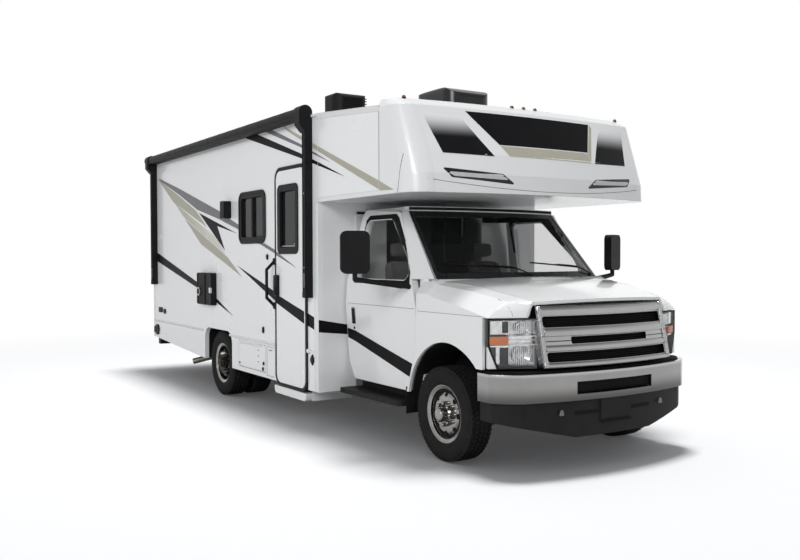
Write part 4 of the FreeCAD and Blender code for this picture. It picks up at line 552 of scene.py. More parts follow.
class MotorhomeStage(bpy.types.PropertyGroup):
    floor: colour_setting("Floor", "Colour of the floor", (0.80, 0.80, 0.80))
    camera: FloatVectorProperty(name="Camera", description="Place of the camera", size=3,
                                subtype="XYZ", unit="LENGTH", default=(8.27735, -4.81384, 1.58303))
    heading: angle_setting("Heading", "Compass turn of the view from +X", 147.6284)
    dip: angle_setting("Dip", "How far the view looks down", 1.5815)
    roll: angle_setting("Roll", "Turn of the camera about its line of sight", 0.1127)
    lens: FloatProperty(name="Lens", description="Focal length on a 36 mm sensor", default=39.10,
                        min=10, max=200)
    lamp_power: FloatProperty(name="Lamp power", description="Power of the large soft lamp",
                              default=5000.0, min=0, max=20000)


# Operators

class MotorhomeOperator:
    bl_options = {"REGISTER", "UNDO"}

    def execute(self, context):
        scene = context.scene
        self.colours, self.sizes = scene.motorhome_colours, scene.motorhome_sizes
        self.build(context)
        return {"FINISHED"}


class MOTORHOME_OT_trees(MotorhomeOperator, bpy.types.Operator):
    """Build the geometry node trees that the other steps use"""
    bl_idname = "motorhome.trees"
    bl_label = "Node trees"

    def build(self, context):
        turn_tree()
        row_tree()
        studs_tree()


class MOTORHOME_OT_finishes(MotorhomeOperator, bpy.types.Operator):
    """Make every finish and give the solids theirs"""
    bl_idname = "motorhome.finishes"
    bl_label = "Finishes"

    def build(self, context):
        c = self.colours
        finish("gel_coat", c.body, 0.26, (1.2, 0.025), (40, 0.012), coat=0.3, dust=0.10,
               soften=0.004)
        finish("moulded_cap", [k * 0.93 for k in c.body], 0.24, (1.6, 0.02), (25, 0.02), coat=0.4,
               soften=0.012)
        finish("cab_paint", c.cab, 0.22, (2.2, 0.02), (60, 0.01), coat=0.6, dust=0.12,
               soften=0.006)
        finish("roof_membrane", (0.72, 0.72, 0.71), 0.55, (2.5, 0.06), (300, 0.15), soften=0.01)
        finish("black_film", c.stripe, 0.42, (6, 0.2), (90, 0.01), shine=0.04)
        finish("grey_film", c.swoosh, 0.36, (5, 0.08), (90, 0.01), shine=0.2)
        finish("khaki_film", c.khaki, 0.36, (5, 0.06), (90, 0.01), shine=0.25)
        finish("khaki_hatch", [k * 1.25 for k in c.khaki], 0.36, (5, 0.06), (90, 0.01),
               shine=0.25)
        plastic = finish("black_plastic", c.plastic, 0.50, (8, 0.25), (500, 0.20), 0.08,
                         dust=0.03, soften=0.004, shine=0.10)
        add_pattern(plastic, "pebbles", 900, 0.10)
        finish("black_gloss", (0.010, 0.010, 0.011), 0.18, (6, 0.2), (60, 0.015), soften=0.012,
               shine=0.3)
        finish("chrome", (0.37, 0.37, 0.375), 0.13, (4, 0.10), (30, 0.012), 0.03, metallic=1.0,
               soften=0.010)
        bumper = finish("bumper_chrome_with_painted_light", (0.30, 0.295, 0.29), 0.16, (3, 0.12), (30, 0.012), 0.04,
                        metallic=1.0, soften=0.010)
        # Painted light on the bumper chrome: darker towards the bottom as a painted reflection of
        # dark ground, lighter along the top edge as a painted highlight
        fade(bumper, 0.66, 0.54, (0.10, 0.098, 0.094))
        fade(bumper, 0.712, 0.738, (0.46, 0.46, 0.455))
        finish("polished_wheel", (0.27, 0.263, 0.252), 0.12, (14, 0.35), (120, 0.03), 0.05,
               metallic=1.0, soften=0.004)
        rubber = finish("tyre_rubber", (0.011, 0.011, 0.0115), 0.78, (9, 0.45), (350, 0.30), 0.10,
                        dust=0.03, shine=0.10)
        add_pattern(rubber, "pebbles", 260, 0.12)
        finish("frame_steel", (0.012, 0.012, 0.013), 0.55, (9, 0.3), (180, 0.2), dust=0.05,
               soften=0.003, shine=0.15)
        finish("cast_iron", (0.035, 0.034, 0.033), 0.7, (16, 0.35), (140, 0.5), metallic=0.5,
               dust=0.05, soften=0.005)
        finish("exhaust_steel", (0.16, 0.15, 0.14), 0.42, (12, 0.25), (200, 0.15), 0.12,
               metallic=0.9)
        finish("tinted_glass", c.tint, 0.05, (3, 0.08), (8, 0.004), 0.01, alpha=0.86, shine=0.22)
        finish("clear_glass", (0.03, 0.036, 0.034), 0.03, (3, 0.04), (6, 0.004), 0.01, alpha=0.11,
               shine=0.15)
        finish("lamp_lens", (0.45, 0.46, 0.47), 0.04, (8, 0.05), (60, 0.02), 0.01, alpha=0.14,
               shine=0.4)
        finish("lamp_reflector", (0.74, 0.75, 0.76), 0.14, (30, 0.35), (120, 0.45), metallic=1.0)
        finish("amber_lens", (0.62, 0.15, 0.012), 0.16, (40, 0.12), (200, 0.10))
        finish("roof_amber", (0.16, 0.045, 0.006), 0.2, (40, 0.12), (200, 0.10))
        finish("red_lens", (0.32, 0.008, 0.008), 0.14, (40, 0.15), (200, 0.10))
        finish("white_lens", (0.52, 0.52, 0.54), 0.18, (30, 0.10), (90, 0.15))
        cloth = finish("seat_cloth", c.seats, 0.86, (26, 0.14), (700, 0.4), 0.05, sheen=0.2,
                       shine=0.2)
        add_pattern(cloth, "waves", 190, 0.35)
        add_pattern(cloth, "waves", 190, 0.35, turn=(0, 0, math.pi / 2))
        dash = finish("dash_plastic", (0.014, 0.014, 0.016), 0.66, (7, 0.15), (600, 0.25),
                      soften=0.012, shine=0.15)
        add_pattern(dash, "pebbles", 700, 0.2)
        # Near-black lining cloth, darker than the seats: real lining colour deepened as painted
        # shade inside the cab
        finish("cab_lining", (0.035, 0.035, 0.036), 0.9, (9, 0.2), (500, 0.3), shine=0.1)
        board = finish("floor_board", (0.22, 0.165, 0.11), 0.6, (4, 0.22), (90, 0.2))
        add_pattern(board, "waves", 14, 0.15, stretch=(0.2, 1, 1))
        finish("bright_screw", (0.42, 0.42, 0.43), 0.3, (60, 0.1), (400, 0.1), metallic=0.9)
        finish("black_screw", (0.02, 0.02, 0.022), 0.4, (60, 0.2), (400, 0.1), metallic=0.6)
        finish("white_trim", [k * 0.95 for k in c.body], 0.34, (5, 0.03), (120, 0.04), dust=0.08,
               soften=0.002)
        finish("seam_shadow", (0.09, 0.09, 0.095), 0.8, (12, 0.2), (200, 0.1), shine=0.1)
        finish("mirror_glass", (0.55, 0.57, 0.58), 0.02, (3, 0.02), (8, 0.003), 0.01,
               metallic=1.0)
        finish("rubber_seal", (0.009, 0.009, 0.009), 0.7, (12, 0.2), (300, 0.2), shine=0.08)
        finish("blind_cloth", (0.30, 0.30, 0.31), 0.8, (14, 0.06), (300, 0.2))
        dark = finish("cap_fade", c.stripe, 0.40, (6, 0.1), (90, 0.01), shine=0.06)
        fade(dark, 2.50, 2.69, [k * 0.92 for k in c.body])
        self.paint()

    def paint(self):
        by_finish = {
            "gel_coat": "house_wall_right house_wall_left house_wall_rear entry_door baggage_door",
            "moulded_cap": "front_cap step_well house_bulkhead",
            "cab_paint": "cab_shell front_fenders hood cab_door_left cab_door_right",
            "roof_membrane": "house_roof",
            "floor_board": "house_floor",
            "black_plastic": "front_valance running_boards mirror_left mirror_right window_frames "
                             "entry_frame awning side_fittings assist_handle rear_bumper roof_vent",
            "black_gloss": "air_conditioner",
            "chrome": "grille",
            "bumper_chrome_with_painted_light": "front_bumper",
            "polished_wheel": "rim_front_left rim_front_right rims_rear_left rims_rear_right",
            "tyre_rubber": "tyre_front_left tyre_front_right tyres_rear_left tyres_rear_right",
            "frame_steel": "chassis_frame radiator_support front_axle rear_axle leaf_springs "
                           "fuel_tank seat_pedestals",
            "cast_iron": "engine_block driveline knuckle_left knuckle_right",
            "exhaust_steel": "exhaust",
            "tinted_glass": "house_glass entry_door_glass",
            "clear_glass": "windshield door_glass_left door_glass_right",
            "lamp_lens": "headlamps",
            "red_lens": "tail_lamps",
            "amber_lens": "marker_lamps",
            "seat_cloth": "cab_seats",
            "dash_plastic": "dashboard steering_wheel",
        }
        painted = {node: name for name, nodes in by_finish.items() for node in nodes.split()}
        for node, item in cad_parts.items():
            material = look(painted[node])
            if not item.material_slots:
                item.data.materials.append(material)
            for place in item.material_slots:
                place.material = material


class MOTORHOME_OT_tyres(MotorhomeOperator, bpy.types.Operator):
    """Make the tyres with walls, grooves and tread blocks"""
    bl_idname = "motorhome.tyres"
    bl_label = "Tyres"

    def build(self, context):
        top = 0.3675
        base = top - self.sizes.tread_depth
        half = [(0.062, 0.2075), (0.086, 0.2085), (0.093, 0.2235), (0.0985, 0.2300),
                (0.1045, 0.2420), (0.1060, 0.2485), (0.1052, 0.2530), (0.1085, 0.2640),
                (0.1110, 0.2800), (0.1115, 0.2950), (0.1100, 0.3110), (0.1072, 0.3230),
                (0.1078, 0.3255), (0.1050, 0.3330), (0.1010, 0.3440), (0.0960, 0.3530),
                (0.0900, base + 0.002), (0.0600, base), (0.0200, base)]
        profile = half + [(-y, r) for y, r in reversed(half)]
        for side, sign in SIDES:
            for end, body, node, x, places in (
                    ("front_", "wheel_front_", "tyre_front_", FRONT_AXLE_X, (0.878,)),
                    ("rear_", "wheels_rear_", "tyres_rear_", REAR_AXLE_X, (1.128, 0.854))):
                parts = []
                for y in places:
                    centre = Vector((x, sign * y, AXLE_Z))
                    parts += [(turned, profile, centre, Y, 64), (self.tread, centre, top, base),
                              (self.wall_marks, centre, sign)]
                piece = make("tyre_tread_" + end + side, "tyre_rubber", *parts, body=body + side,
                             slot="tyre", smooth=28)
                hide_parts(node + side)

    def tread(self, shape, centre, top, base):
        """One pitch of five ribs with a skewed block each, repeated round the tyre."""
        pitches = self.sizes.tread_pitches
        turn = 2 * math.pi / pitches
        long = top * turn
        pitch = bmesh.new()
        for y, wide, offset, share in ((-0.079, 0.030, 0.0, 0.66), (-0.0415, 0.031, 0.35, 0.84),
                                       (0.0, 0.034, 0.0, 0.88), (0.0415, 0.031, 0.35, 0.84),
                                       (0.079, 0.030, 0.0, 0.66)):
            skew = 0.006 if y >= 0 else -0.006
            length = long * share / 2
            fall = 0.0022 if abs(y) > 0.06 else 0.0
            corners = [(-length - skew, y - wide / 2), (length - skew, y - wide / 2),
                       (length + skew, y + wide / 2), (-length + skew, y + wide / 2)]
            shift = offset * long
            low = [pitch.verts.new((u + shift, v, base - 0.002 - abs(u + shift) * 0.05))
                   for u, v in corners]
            high = [pitch.verts.new((u * 0.95 + shift, y + (v - y) * 0.92,
                                     top - fall - (u + shift) ** 2 / (2 * top)))
                    for u, v in corners]
            pitch.faces.new(low[::-1])
            pitch.faces.new(high)
            bands(pitch, [low, high], through=False)
        grown(shape, pitch, "Repeat round Y", "tyre_rubber", Count=pitches, Turn=turn,
              Centre=centre)

    def wall_marks(self, shape, centre, sign):
        """Short moulded bars round the outer wall, near the shoulder."""
        mark = (slab, (-0.004, sign * 0.1030 - 0.002, 0.3340), (0.004, sign * 0.1062, 0.3440),
                0.0008)
        grown(shape, [mark], "Repeat round Y", "tyre_rubber", Count=72, Turn=2 * math.pi / 72,
              Centre=centre)


class MOTORHOME_OT_wheels(MotorhomeOperator, bpy.types.Operator):
    """Add lug caps, hub caps, rim lips and valves to the wheels"""
    bl_idname = "motorhome.wheels"
    bl_label = "Wheel details"

    def build(self, context):
        for side, sign in SIDES:
            for end, body, x, lug_y, hub_y, rim_y in (
                    ("front_", "wheel_front_", FRONT_AXLE_X, 0.9505, 1.0245, 0.878),
                    ("rear_", "wheels_rear_", REAR_AXLE_X, 1.0035, 1.0895, 1.128)):
                axis = Y * sign
                centre = Vector((x, 0, AXLE_Z))
                hub, rim = centre + axis * hub_y, centre + axis * rim_y
                stem = rim + Vector((0.155, sign * 0.045, 0.06))
                make("wheel_trim_" + end + side, "polished_wheel",
                     (self.lugs, centre, (0.0825, sign * lug_y, 0), axis),
                     (turned, [(-0.030, 0.0515), (-0.006, 0.0515), (-0.002, 0.049), (0.0, 0.042),
                               (0.001, 0.020)], hub, axis, 32, False),
                     (turned, [(0.0905, 0.214), (0.0935, 0.218), (0.0935, 0.224),
                               (0.0900, 0.2268), (0.0840, 0.2255), (0.0860, 0.214)],
                      rim, axis, 64),
                     (turned, [(0.062, 0.1935), (0.066, 0.1975), (0.060, 0.2015),
                               (0.054, 0.1965)], rim, axis, 64),
                     (tube, [stem, stem + axis * 0.030, stem + axis * 0.045 + X * 0.004], 0.004,
                      8),
                     body=body + side, slot="polished_wheel", smooth=40)
                make("wheel_backing_" + end + side, "rubber_seal",
                     (turned, [(-0.012, 0.124), (-0.012, 0.184), (-0.009, 0.184),
                               (-0.009, 0.124)], centre + axis * lug_y, axis, 40),
                     body=body + side)

    def lugs(self, shape, centre, place, axis):
        cap = (turned, [(0, 0.0165), (0.004, 0.0172), (0.012, 0.0150), (0.030, 0.0146),
                        (0.037, 0.0115), (0.0395, 0.006)], place, axis, 12, False)
        grown(shape, [cap], "Repeat round Y", "polished_wheel", Count=8, Turn=math.pi / 4,
              Centre=centre)


class MOTORHOME_OT_side_graphics(MotorhomeOperator, bpy.types.Operator):
    """Lay the stripes and swooshes on the side walls, entry door and cab doors"""
    bl_idname = "motorhome.side_graphics"
    bl_label = "Side graphics"

    def build(self, context):
        lift = self.sizes.film_lift
        hatch = []
        for share in (step / 6 for step in range(7)):
            start = Vector((-2.700, 2.262)).lerp(Vector((-2.400, 2.098)), share)
            end = Vector((-1.160, 1.770)).lerp(Vector((-0.940, 1.606)), share)
            along = (end - start).normalized() * 0.02
            hatch.append([tuple(start), tuple(start + Vector((0, -0.011)) + along),
                          tuple(end + Vector((0, -0.006)) - along), tuple(end)])
        films = {
            "black_film": ([
                [(-1.801, 2.103), (-0.964, 1.649), (-1.197, 1.928), (-0.593, 1.828)],
                [(-1.240, 1.103), (-1.240, 1.057), (-0.738, 0.931)],
                [(-3.560, 1.655), (-3.560, 1.535), (-1.716, 1.171), (-1.716, 1.235)],
                [(-0.419, 2.843), (0.955, 2.495), (1.314, 2.394), (1.314, 2.425),
                 (0.955, 2.539), (-0.066, 2.838)],
                [(-0.607, 1.485), (0.202, 1.206), (0.408, 1.136), (0.408, 1.222),
                 (0.203, 1.279)],
                [(1.107, 0.946), (1.314, 0.897), (1.314, 1.010), (1.107, 1.060)],
            ], [(0.408, 1.136), (1.107, 0.946), (1.107, 1.060), (0.408, 1.222)],
                [(1.322, 2.423), (1.322, 2.392), (1.819, 2.255)]),
            "grey_film": ([
                [(-3.404, 2.640), (-3.300, 2.590), (-2.505, 2.354), (-1.867, 2.144),
                 (-1.165, 2.009), (-0.536, 1.866), (-0.536, 1.915), (-1.155, 2.102),
                 (-2.636, 2.466)],
                [(0.020, 1.707), (0.408, 1.603), (0.408, 1.641), (0.128, 1.714),
                 (-0.040, 1.714)],
                [(0.098, 2.850), (0.956, 2.596), (1.314, 2.476), (1.314, 2.492),
                 (0.956, 2.625), (0.292, 2.842)],
            ], [(0.408, 1.603), (0.905, 1.472), (0.408, 1.641)],
                [(1.322, 2.489), (1.322, 2.474), (1.566, 2.396)]),
            "khaki_film": ([
                [(-3.404, 2.622), (-2.775, 2.284), (-1.541, 1.928), (-1.901, 2.130),
                 (-2.505, 2.336)],
                [(-2.328, 2.052), (-1.742, 1.729), (-0.938, 1.500), (-0.466, 1.360),
                 (-0.879, 1.569)],
                [(0.560, 2.848), (0.700, 2.770), (1.235, 2.553), (1.314, 2.522),
                 (1.314, 2.566), (1.213, 2.604)],
            ], None, [(1.322, 2.563), (1.322, 2.519), (2.368, 2.112), (2.368, 2.182)]),
            "khaki_hatch": (hatch, None, None),
        }
        for name, (both, where_the_door_is, ahead) in films.items():
            for side, sign in SIDES:
                extra = [where_the_door_is if side == "left" else None, ahead]
                make("side_%s_%s" % (name, side), name, *(
                    (prism, [(a * -sign, b) for a, b in outline],
                     (0, sign * (abs(WALL_Y) - 0.001), 0), X * -sign, Z, lift + 0.001)
                    for outline in both + [outline for outline in extra if outline]), smooth=20)
        for name, film, outline in (
                ("entry_stripe", "black_film",
                 [(0.447, 1.125), (1.068, 0.957), (1.068, 1.071), (0.447, 1.211)]),
                ("entry_swoosh", "grey_film",
                 [(0.447, 1.592), (0.905, 1.472), (0.447, 1.630)])):
            make(name, film, (prism, outline, (0, DOOR_Y + 0.0005, 0), X, Z, lift + 0.0005),
                 body="entry_door", smooth=20)
        make("cap_khaki_tip", "khaki_film",
             (drape, [(2.376, 2.179), (2.376, 2.110), (2.403, 2.098), (2.596, 2.094)],
              "front_cap", Y, lift), (mirrored,))
        band = [(1.352, 0.932), (1.352, 0.846), (1.500, 0.815), (1.900, 0.712), (2.380, 0.588),
                (2.488, 0.640), (2.488, 0.690), (1.900, 0.822), (1.500, 0.915)]
        for side, sign in SIDES:
            door = "cab_door_" + side
            make("door_stripe_" + side, "black_film", (drape, band, door, Y * -sign, lift),
                 body=door)
        make("bulkhead_stripe", "black_film",
             (prism, [(-1.266, 0.899), (-0.96, 0.868), (-0.96, 0.956), (-1.266, 1.011)],
              (1.3175, 0, 0), Y, Z, lift + 0.0005), (mirrored,))


class MOTORHOME_OT_cap(MotorhomeOperator, bpy.types.Operator):
    """Lay the front panels on the cap, with its lamp strips and parting lines"""
    bl_idname = "motorhome.cap"
    bl_label = "Cap graphics and lamps"

    def build(self, context):
        lift = self.sizes.film_lift
        corner = [(-1.079, 2.692), (-0.755, 2.680), (-0.540, 2.360), (-0.980, 2.371)]
        for name, film, *outlines in (
                ("cap_fade_right", "cap_fade", corner),
                ("cap_fade_left", "cap_fade", [(-y, z) for y, z in corner]),
                ("cap_dark", "black_film",
                 [(-0.685, 2.727), (0.642, 2.721), (0.496, 2.456), (-0.458, 2.458)]),
                ("cap_khaki", "khaki_film",
                 [(-0.452, 2.450), (-0.395, 2.367), (0.491, 2.360), (0.493, 2.448)],
                 [(0.499, 2.450), (0.494, 2.362), (0.668, 2.695), (0.648, 2.714)])):
            make(name, film, *((drape, outline, "front_cap", -X, lift, 0.04)
                               for outline in outlines))
        strip = [Vector(point) for point in ((-1.011, 2.256), (-0.498, 2.220), (-0.382, 2.139),
                                             (-0.941, 2.181))]
        middle = sum(strip, Vector((0, 0))) / 4
        for name, film, wide, high, up in (("cap_lamp_frames", "black_gloss", 1.0, 1.0, lift),
                                           ("cap_lamp_lenses", "white_lens", 0.90, 0.46,
                                            lift * 2.5)):
            outline = [tuple(middle + (point - middle) * Vector((wide, high)))
                       for point in strip]
            make(name, film, (drape, rounded(outline, 0.008), "front_cap", -X, up, 0.04),
                 (mirrored,))
        lines = []
        places = [-1.135 + 2.27 * step / 24 for step in range(25)]
        for here, there in zip(places, places[1:]):
            z_here, z_there = (2.090 + 0.075 * (y / 1.135) ** 2 for y in (here, there))
            lines.append((drape, [(here, z_here), (there, z_there), (there, z_there + 0.004),
                                  (here, z_here + 0.004)], "front_cap", -X, 0.0006, 0.1))
        for cast in (Y, -Y):
            lines += [(drape, outline, "front_cap", cast, 0.0008) for outline in (
                [(2.6475, 2.066), (2.6525, 2.066), (2.7145, 2.360), (2.7095, 2.360)],
                rectangle(2.374, 2.380, 2.062, 2.770))]
        make("cap_parting_lines", "seam_shadow", *lines)


def strip(shape, x_low, x_high, z_low, z_high, proud):
    prism(shape, rectangle(x_low, x_high, z_low, z_high), (0, WALL_Y + 0.001, 0), X, Z,
          proud + 0.001, min(0.002, proud * 0.4))


def far_strip(shape, *values):
    """The same strip on the far side only."""
    far = built([(strip, *values)])
    for vert in far.verts:
        vert.co.y = -vert.co.y
    joined(shape, meshed(far))


class MOTORHOME_OT_house_trim(MotorhomeOperator, bpy.types.Operator):
    """Add mouldings, drip rails, latches, inlets and screws to the house"""
    bl_idname = "motorhome.house_trim"
    bl_label = "House trim"

    def build(self, context):
        self.mouldings()
        self.baggage()
        self.inlets()
        self.screws()

    def mouldings(self):
        rear_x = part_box("house_wall_rear")[0].x + 0.001
        rail, gutter = (0.703, 0.721), (2.834, 2.856)
        make("wall_mouldings", "white_trim",
             (strip, -3.600, -1.690, *rail, 0.008),
             (strip, -0.840, 0.408, *rail, 0.008),
             (strip, 1.107, 1.238, *rail, 0.008),
             (strip, 1.240, 1.3175, 0.356, 2.055, 0.004),
             (strip, -3.6465, -3.604, 0.492, 2.850, 0.004),
             (strip, -3.600, 1.310, *gutter, 0.014),
             (mirrored,),
             (far_strip, 0.408, 1.107, *rail, 0.008),
             (back_plate, -1.246, 0.0205, 0.492, 2.850, 0, rear_x, 0.005, 0.001),
             (back_plate, 1.246, 0.0205, 0.492, 2.850, 0, rear_x, 0.005, 0.001),
             (back_plate, 0, 1.220, *rail, 0, rear_x, 0.009, 0.002),
             (back_plate, 0, 1.262, *gutter, 0, rear_x, 0.012, 0.002),
             slot="white_moulding")
        make("moulding_shadow", "seam_shadow",
             (strip, -3.600, -1.690, 0.699, 0.703, 0.0008),
             (strip, -0.840, 0.408, 0.699, 0.703, 0.0008),
             (strip, 1.2365, 1.2395, 0.356, 2.055, 0.0008), (mirrored,))

    def baggage(self):
        make("baggage_gutter", "white_trim", (strip, -0.590, 0.148, 0.692, 0.701, 0.004),
             slot="white_moulding")
        make("baggage_lip", "white_trim",
             (wall_ring, (-0.5785, 0.1365, 0.4085, 0.6755, 0.018),
              (-0.5725, 0.1305, 0.4145, 0.6695, 0.013), 0.0025),
             (strip, -0.536, 0.040, 0.654, 0.661, 0.010),
             body="baggage_door", slot="white_moulding")
        make("baggage_latches", "black_plastic",
             *((plate, (x - 0.016, x + 0.016, z - 0.018, z + 0.018, 0.012), 0.009, 0.003)
               for x, z in ((0.094, 0.492), (0.078, 0.436))),
             *((plate, (-0.062, -0.030, z - 0.004, z + 0.004, 0.003), 0.002, 0.0005)
               for z in (0.616, 0.556, 0.496)),
             (plate, (-0.560, -0.532, 0.430, 0.450, 0.005), 0.004, 0.001),
             body="baggage_door", slot="black_plastic")
        make("small_hatch", "white_trim",
             (wall_ring, (0.170, 0.372, 0.375, 0.684, 0.014),
              (0.176, 0.366, 0.381, 0.678, 0.010), 0.0035),
             (plate, (0.230, 0.310, 0.634, 0.650, 0.007), 0.005, 0.002, WALL_Y),
             slot="white_moulding")
        make("small_hatch_line", "seam_shadow",
             (wall_ring, (0.1775, 0.3645, 0.3825, 0.6765, 0.009),
              (0.1800, 0.3620, 0.3850, 0.6740, 0.008), 0.0015),
             (plate, (0.238, 0.302, 0.638, 0.646, 0.003), 0.001, 0, WALL_Y - 0.0045))

    def inlets(self):
        make("wall_inlets", "black_plastic",
             (plate, (0.076, 0.112, 0.802, 0.868, 0.015), 0.012, 0.004),
             (plate, (-3.420, -3.262, 0.832, 0.900, 0.010), 0.010, 0.004),
             (plate, (-3.215, -3.118, 0.820, 0.886, 0.032), 0.010, 0.004),
             (plate, (-3.575, -3.405, 0.520, 0.660, 0.068), 0.014, 0.004),
             (plate, (-3.635, -3.585, 0.540, 0.630, 0.020), 0.010, 0.004),
             (plate, (1.168, 1.232, 0.608, 0.672, 0.022), 0.012, 0.004),
             (plate, (0.196, 0.236, 1.548, 1.604, 0.019), 0.016, 0.004),
             (plate, (1.186, 1.214, 0.590, 0.690, 0.012), 0.008, 0.002),
             slot="black_plastic")
        on_furnace = FURNACE_Y + 0.0005
        make("wall_knobs", "white_trim",
             (plate, (1.108, 1.160, 0.700, 0.734, 0.010), 0.020, 0.006),
             (plate, (-1.320, -1.232, 1.163, 1.224, 0.006), 0.0035, 0.001, on_furnace),
             (wall_ring, (0.186, 0.246, 1.536, 1.616, 0.029),
              (0.194, 0.238, 1.546, 1.606, 0.020), 0.007),
             slot="white_moulding")
        make("furnace_louvres", "black_plastic",
             (row, "black_plastic", 14, (0, 0, 0.0225), slab,
              (-1.694, FURNACE_Y - 0.006, 1.056), (-1.470, FURNACE_Y + 0.002, 1.063), 0.002),
             *((wall_ring, (x_low, x_high, 1.028, 1.388, 0.014),
                (x_low + band, x_high - band, 1.028 + band, 1.388 - band, 0.008), 0.008,
                on_furnace)
               for x_low, x_high, band in ((-1.710, -1.455, 0.014), (-1.446, -1.238, 0.008))),
             slot="black_plastic")
        make("furnace_outlet", "bright_screw",
             (wall_ring, (-1.699, -1.593, 1.121, 1.223, 0.050, 8),
              (-1.684, -1.608, 1.136, 1.208, 0.035, 8), 0.010, FURNACE_Y - 0.006))

    def screws(self):
        wall, corner = WALL_Y - 0.0095, WALL_Y - 0.005
        paths = [((-3.560, wall, 0.712), (-1.720, wall, 0.712)),
                 ((-0.800, wall, 0.712), (0.380, wall, 0.712)),
                 ((1.279, corner, 0.42), (1.279, corner, 1.98)),
                 ((-3.625, corner, 0.55), (-3.625, corner, 2.80))]
        make("wall_screws", "bright_screw",
             (studs, paths, self.sizes.screw_spacing, self.sizes.screw_radius, "bright_screw"),
             (mirrored,))


class MOTORHOME_OT_entry(MotorhomeOperator, bpy.types.Operator):
    """Add the window frame, lock, screws and handle brackets of the entry door"""
    bl_idname = "motorhome.entry"
    bl_label = "Entry door trim"

    def build(self, context):
        on_door, on_lock = DOOR_Y + 0.0005, DOOR_Y - 0.022
        make("entry_window_frame", "black_plastic",
             (wall_ring, (0.492, 0.945, 1.604, 2.268, 0.062),
              (0.552, 0.893, 1.666, 2.206, 0.030), 0.011, on_door),
             (wall_ring, (0.5020, 0.9250, 1.6160, 2.2560, 0.060),
              (0.5560, 0.8890, 1.6700, 2.2020, 0.030), 0.018, DOOR_Y + 0.016),
             (plate, (0.420, 0.516, 1.188, 1.402, 0.016), 0.024, 0.006, on_door),
             (plate, (0.436, 0.500, 1.300, 1.380, 0.010), 0.004, 0.001, on_lock),
             (plate, (0.440, 0.498, 1.205, 1.285, 0.008), 0.012, 0.003, on_lock),
             body="entry_door", slot="black_plastic")
        make("entry_bright_trim", "bright_screw",
             (plate, (0.572, 0.880, 1.676, 1.684), 0.005, 0.001, DOOR_Y + 0.004),
             (knob, (0.468, DOOR_Y - 0.0235, 1.390), -Y, 0.004, 0.002, 10),
             (knob, (0.468, DOOR_Y - 0.0235, 1.200), -Y, 0.004, 0.002, 10),
             (knob, (0.868, DOOR_Y - 0.002, 1.700), -Y, 0.006, 0.006, 10),
             body="entry_door")
        make("handle_mounts", "black_plastic",
             *((knob, (0.372, WALL_Y + 0.001, z), -Y, radius, height, 20)
               for z, radius, height in ((1.090, 0.030, 0.016), (1.536, 0.030, 0.016),
                                         (1.106, 0.022, 0.022), (1.520, 0.022, 0.022))),
             slot="black_plastic")
        make("step_ribs", "rubber_seal",
             (row, "rubber_seal", 9, (0, 0.020, 0), slab, (0.450, -1.000, 0.5585),
              (1.065, -0.992, 0.5635), 0.0015))
        make("entry_frame_screws", "black_screw",
             (studs, [((x, -1.2835, 0.45), (x, -1.2835, 2.30)) for x in (1.091, 0.424)], 0.2,
              self.sizes.screw_radius * 0.9, "black_screw"))


class MOTORHOME_OT_windows(MotorhomeOperator, bpy.types.Operator):
    """Add sashes, bars and blinds to the house windows"""
    bl_idname = "motorhome.windows"
    bl_label = "House windows"

    def build(self, context):
        low_x, high_x, low_z, high_z = -0.506, 0.142, 1.742, 2.232
        inside = WALL_Y + 0.022
        make("window_sashes", "black_plastic",
             (wall_ring, (low_x, high_x, low_z, high_z, 0.068),
              (low_x + 0.042, high_x - 0.042, low_z + 0.040, high_z - 0.040, 0.034), 0.030,
              inside),
             (plate, (-0.204, -0.166, low_z + 0.02, high_z - 0.02), 0.026, 0.004, inside),
             (plate, (-0.160, 0.095, low_z + 0.046, low_z + 0.052), 0.004, 0, WALL_Y + 0.018),
             (mirrored,), slot="black_plastic")
        make("window_blinds", "blind_cloth",
             (row, "blind_cloth", 28, (0, 0, 0.019), slab,
              (low_x + 0.02, WALL_Y + 0.060, low_z - 0.02),
              (high_x - 0.02, WALL_Y + 0.074, low_z - 0.002), 0.002), (mirrored,))


class MOTORHOME_OT_awning(MotorhomeOperator, bpy.types.Operator):
    """Add the fabric roll's seams, arm channels and end caps of the awning"""
    bl_idname = "motorhome.awning"
    bl_label = "Awning trim"

    def build(self, context):
        channels, rivets = [], []
        for arm in (-3.530, 1.147):
            channels += [(slab, (x, -1.3445, 1.225), (x + 0.010, -1.338, 2.70), 0.002)
                         for x in (arm + 0.004, arm + 0.050)]
            channels.append((slab, (arm - 0.004, -1.346, 1.2055), (arm + 0.068, -1.2685, 1.262),
                             0.006))
            rivets.append((slab, (arm + 0.027, -1.343, 1.300), (arm + 0.036, -1.339, 1.430),
                           0.002))
            rivets += [(knob, (arm + 0.032, -1.3400, z), -Y, 0.006, 0.004, 10)
                       for z in (1.236, 1.480, 2.15, 2.74)]
        for x, outward in ((-3.599, -X), (1.210, X)):
            channels.append((knob, (x, AWNING_Y, AWNING_Z), outward, 0.058, 0.0035, 32))
        make("awning_channels", "black_plastic", *channels, slot="black_plastic")
        make("awning_rivets", "bright_screw", *rivets)
        make("awning_roll_seams", "black_plastic",
             (row, "black_plastic", 16, (0.285, 0, 0), turned,
              [(0, 0.0548), (0.002, 0.0562), (0.006, 0.0562), (0.008, 0.0548)],
              (-3.45, AWNING_Y, AWNING_Z), X, 32),
             (tube, [(-3.462, -1.378, 2.838), (1.074, -1.378, 2.838)], 0.011, 10),
             slot="black_plastic")


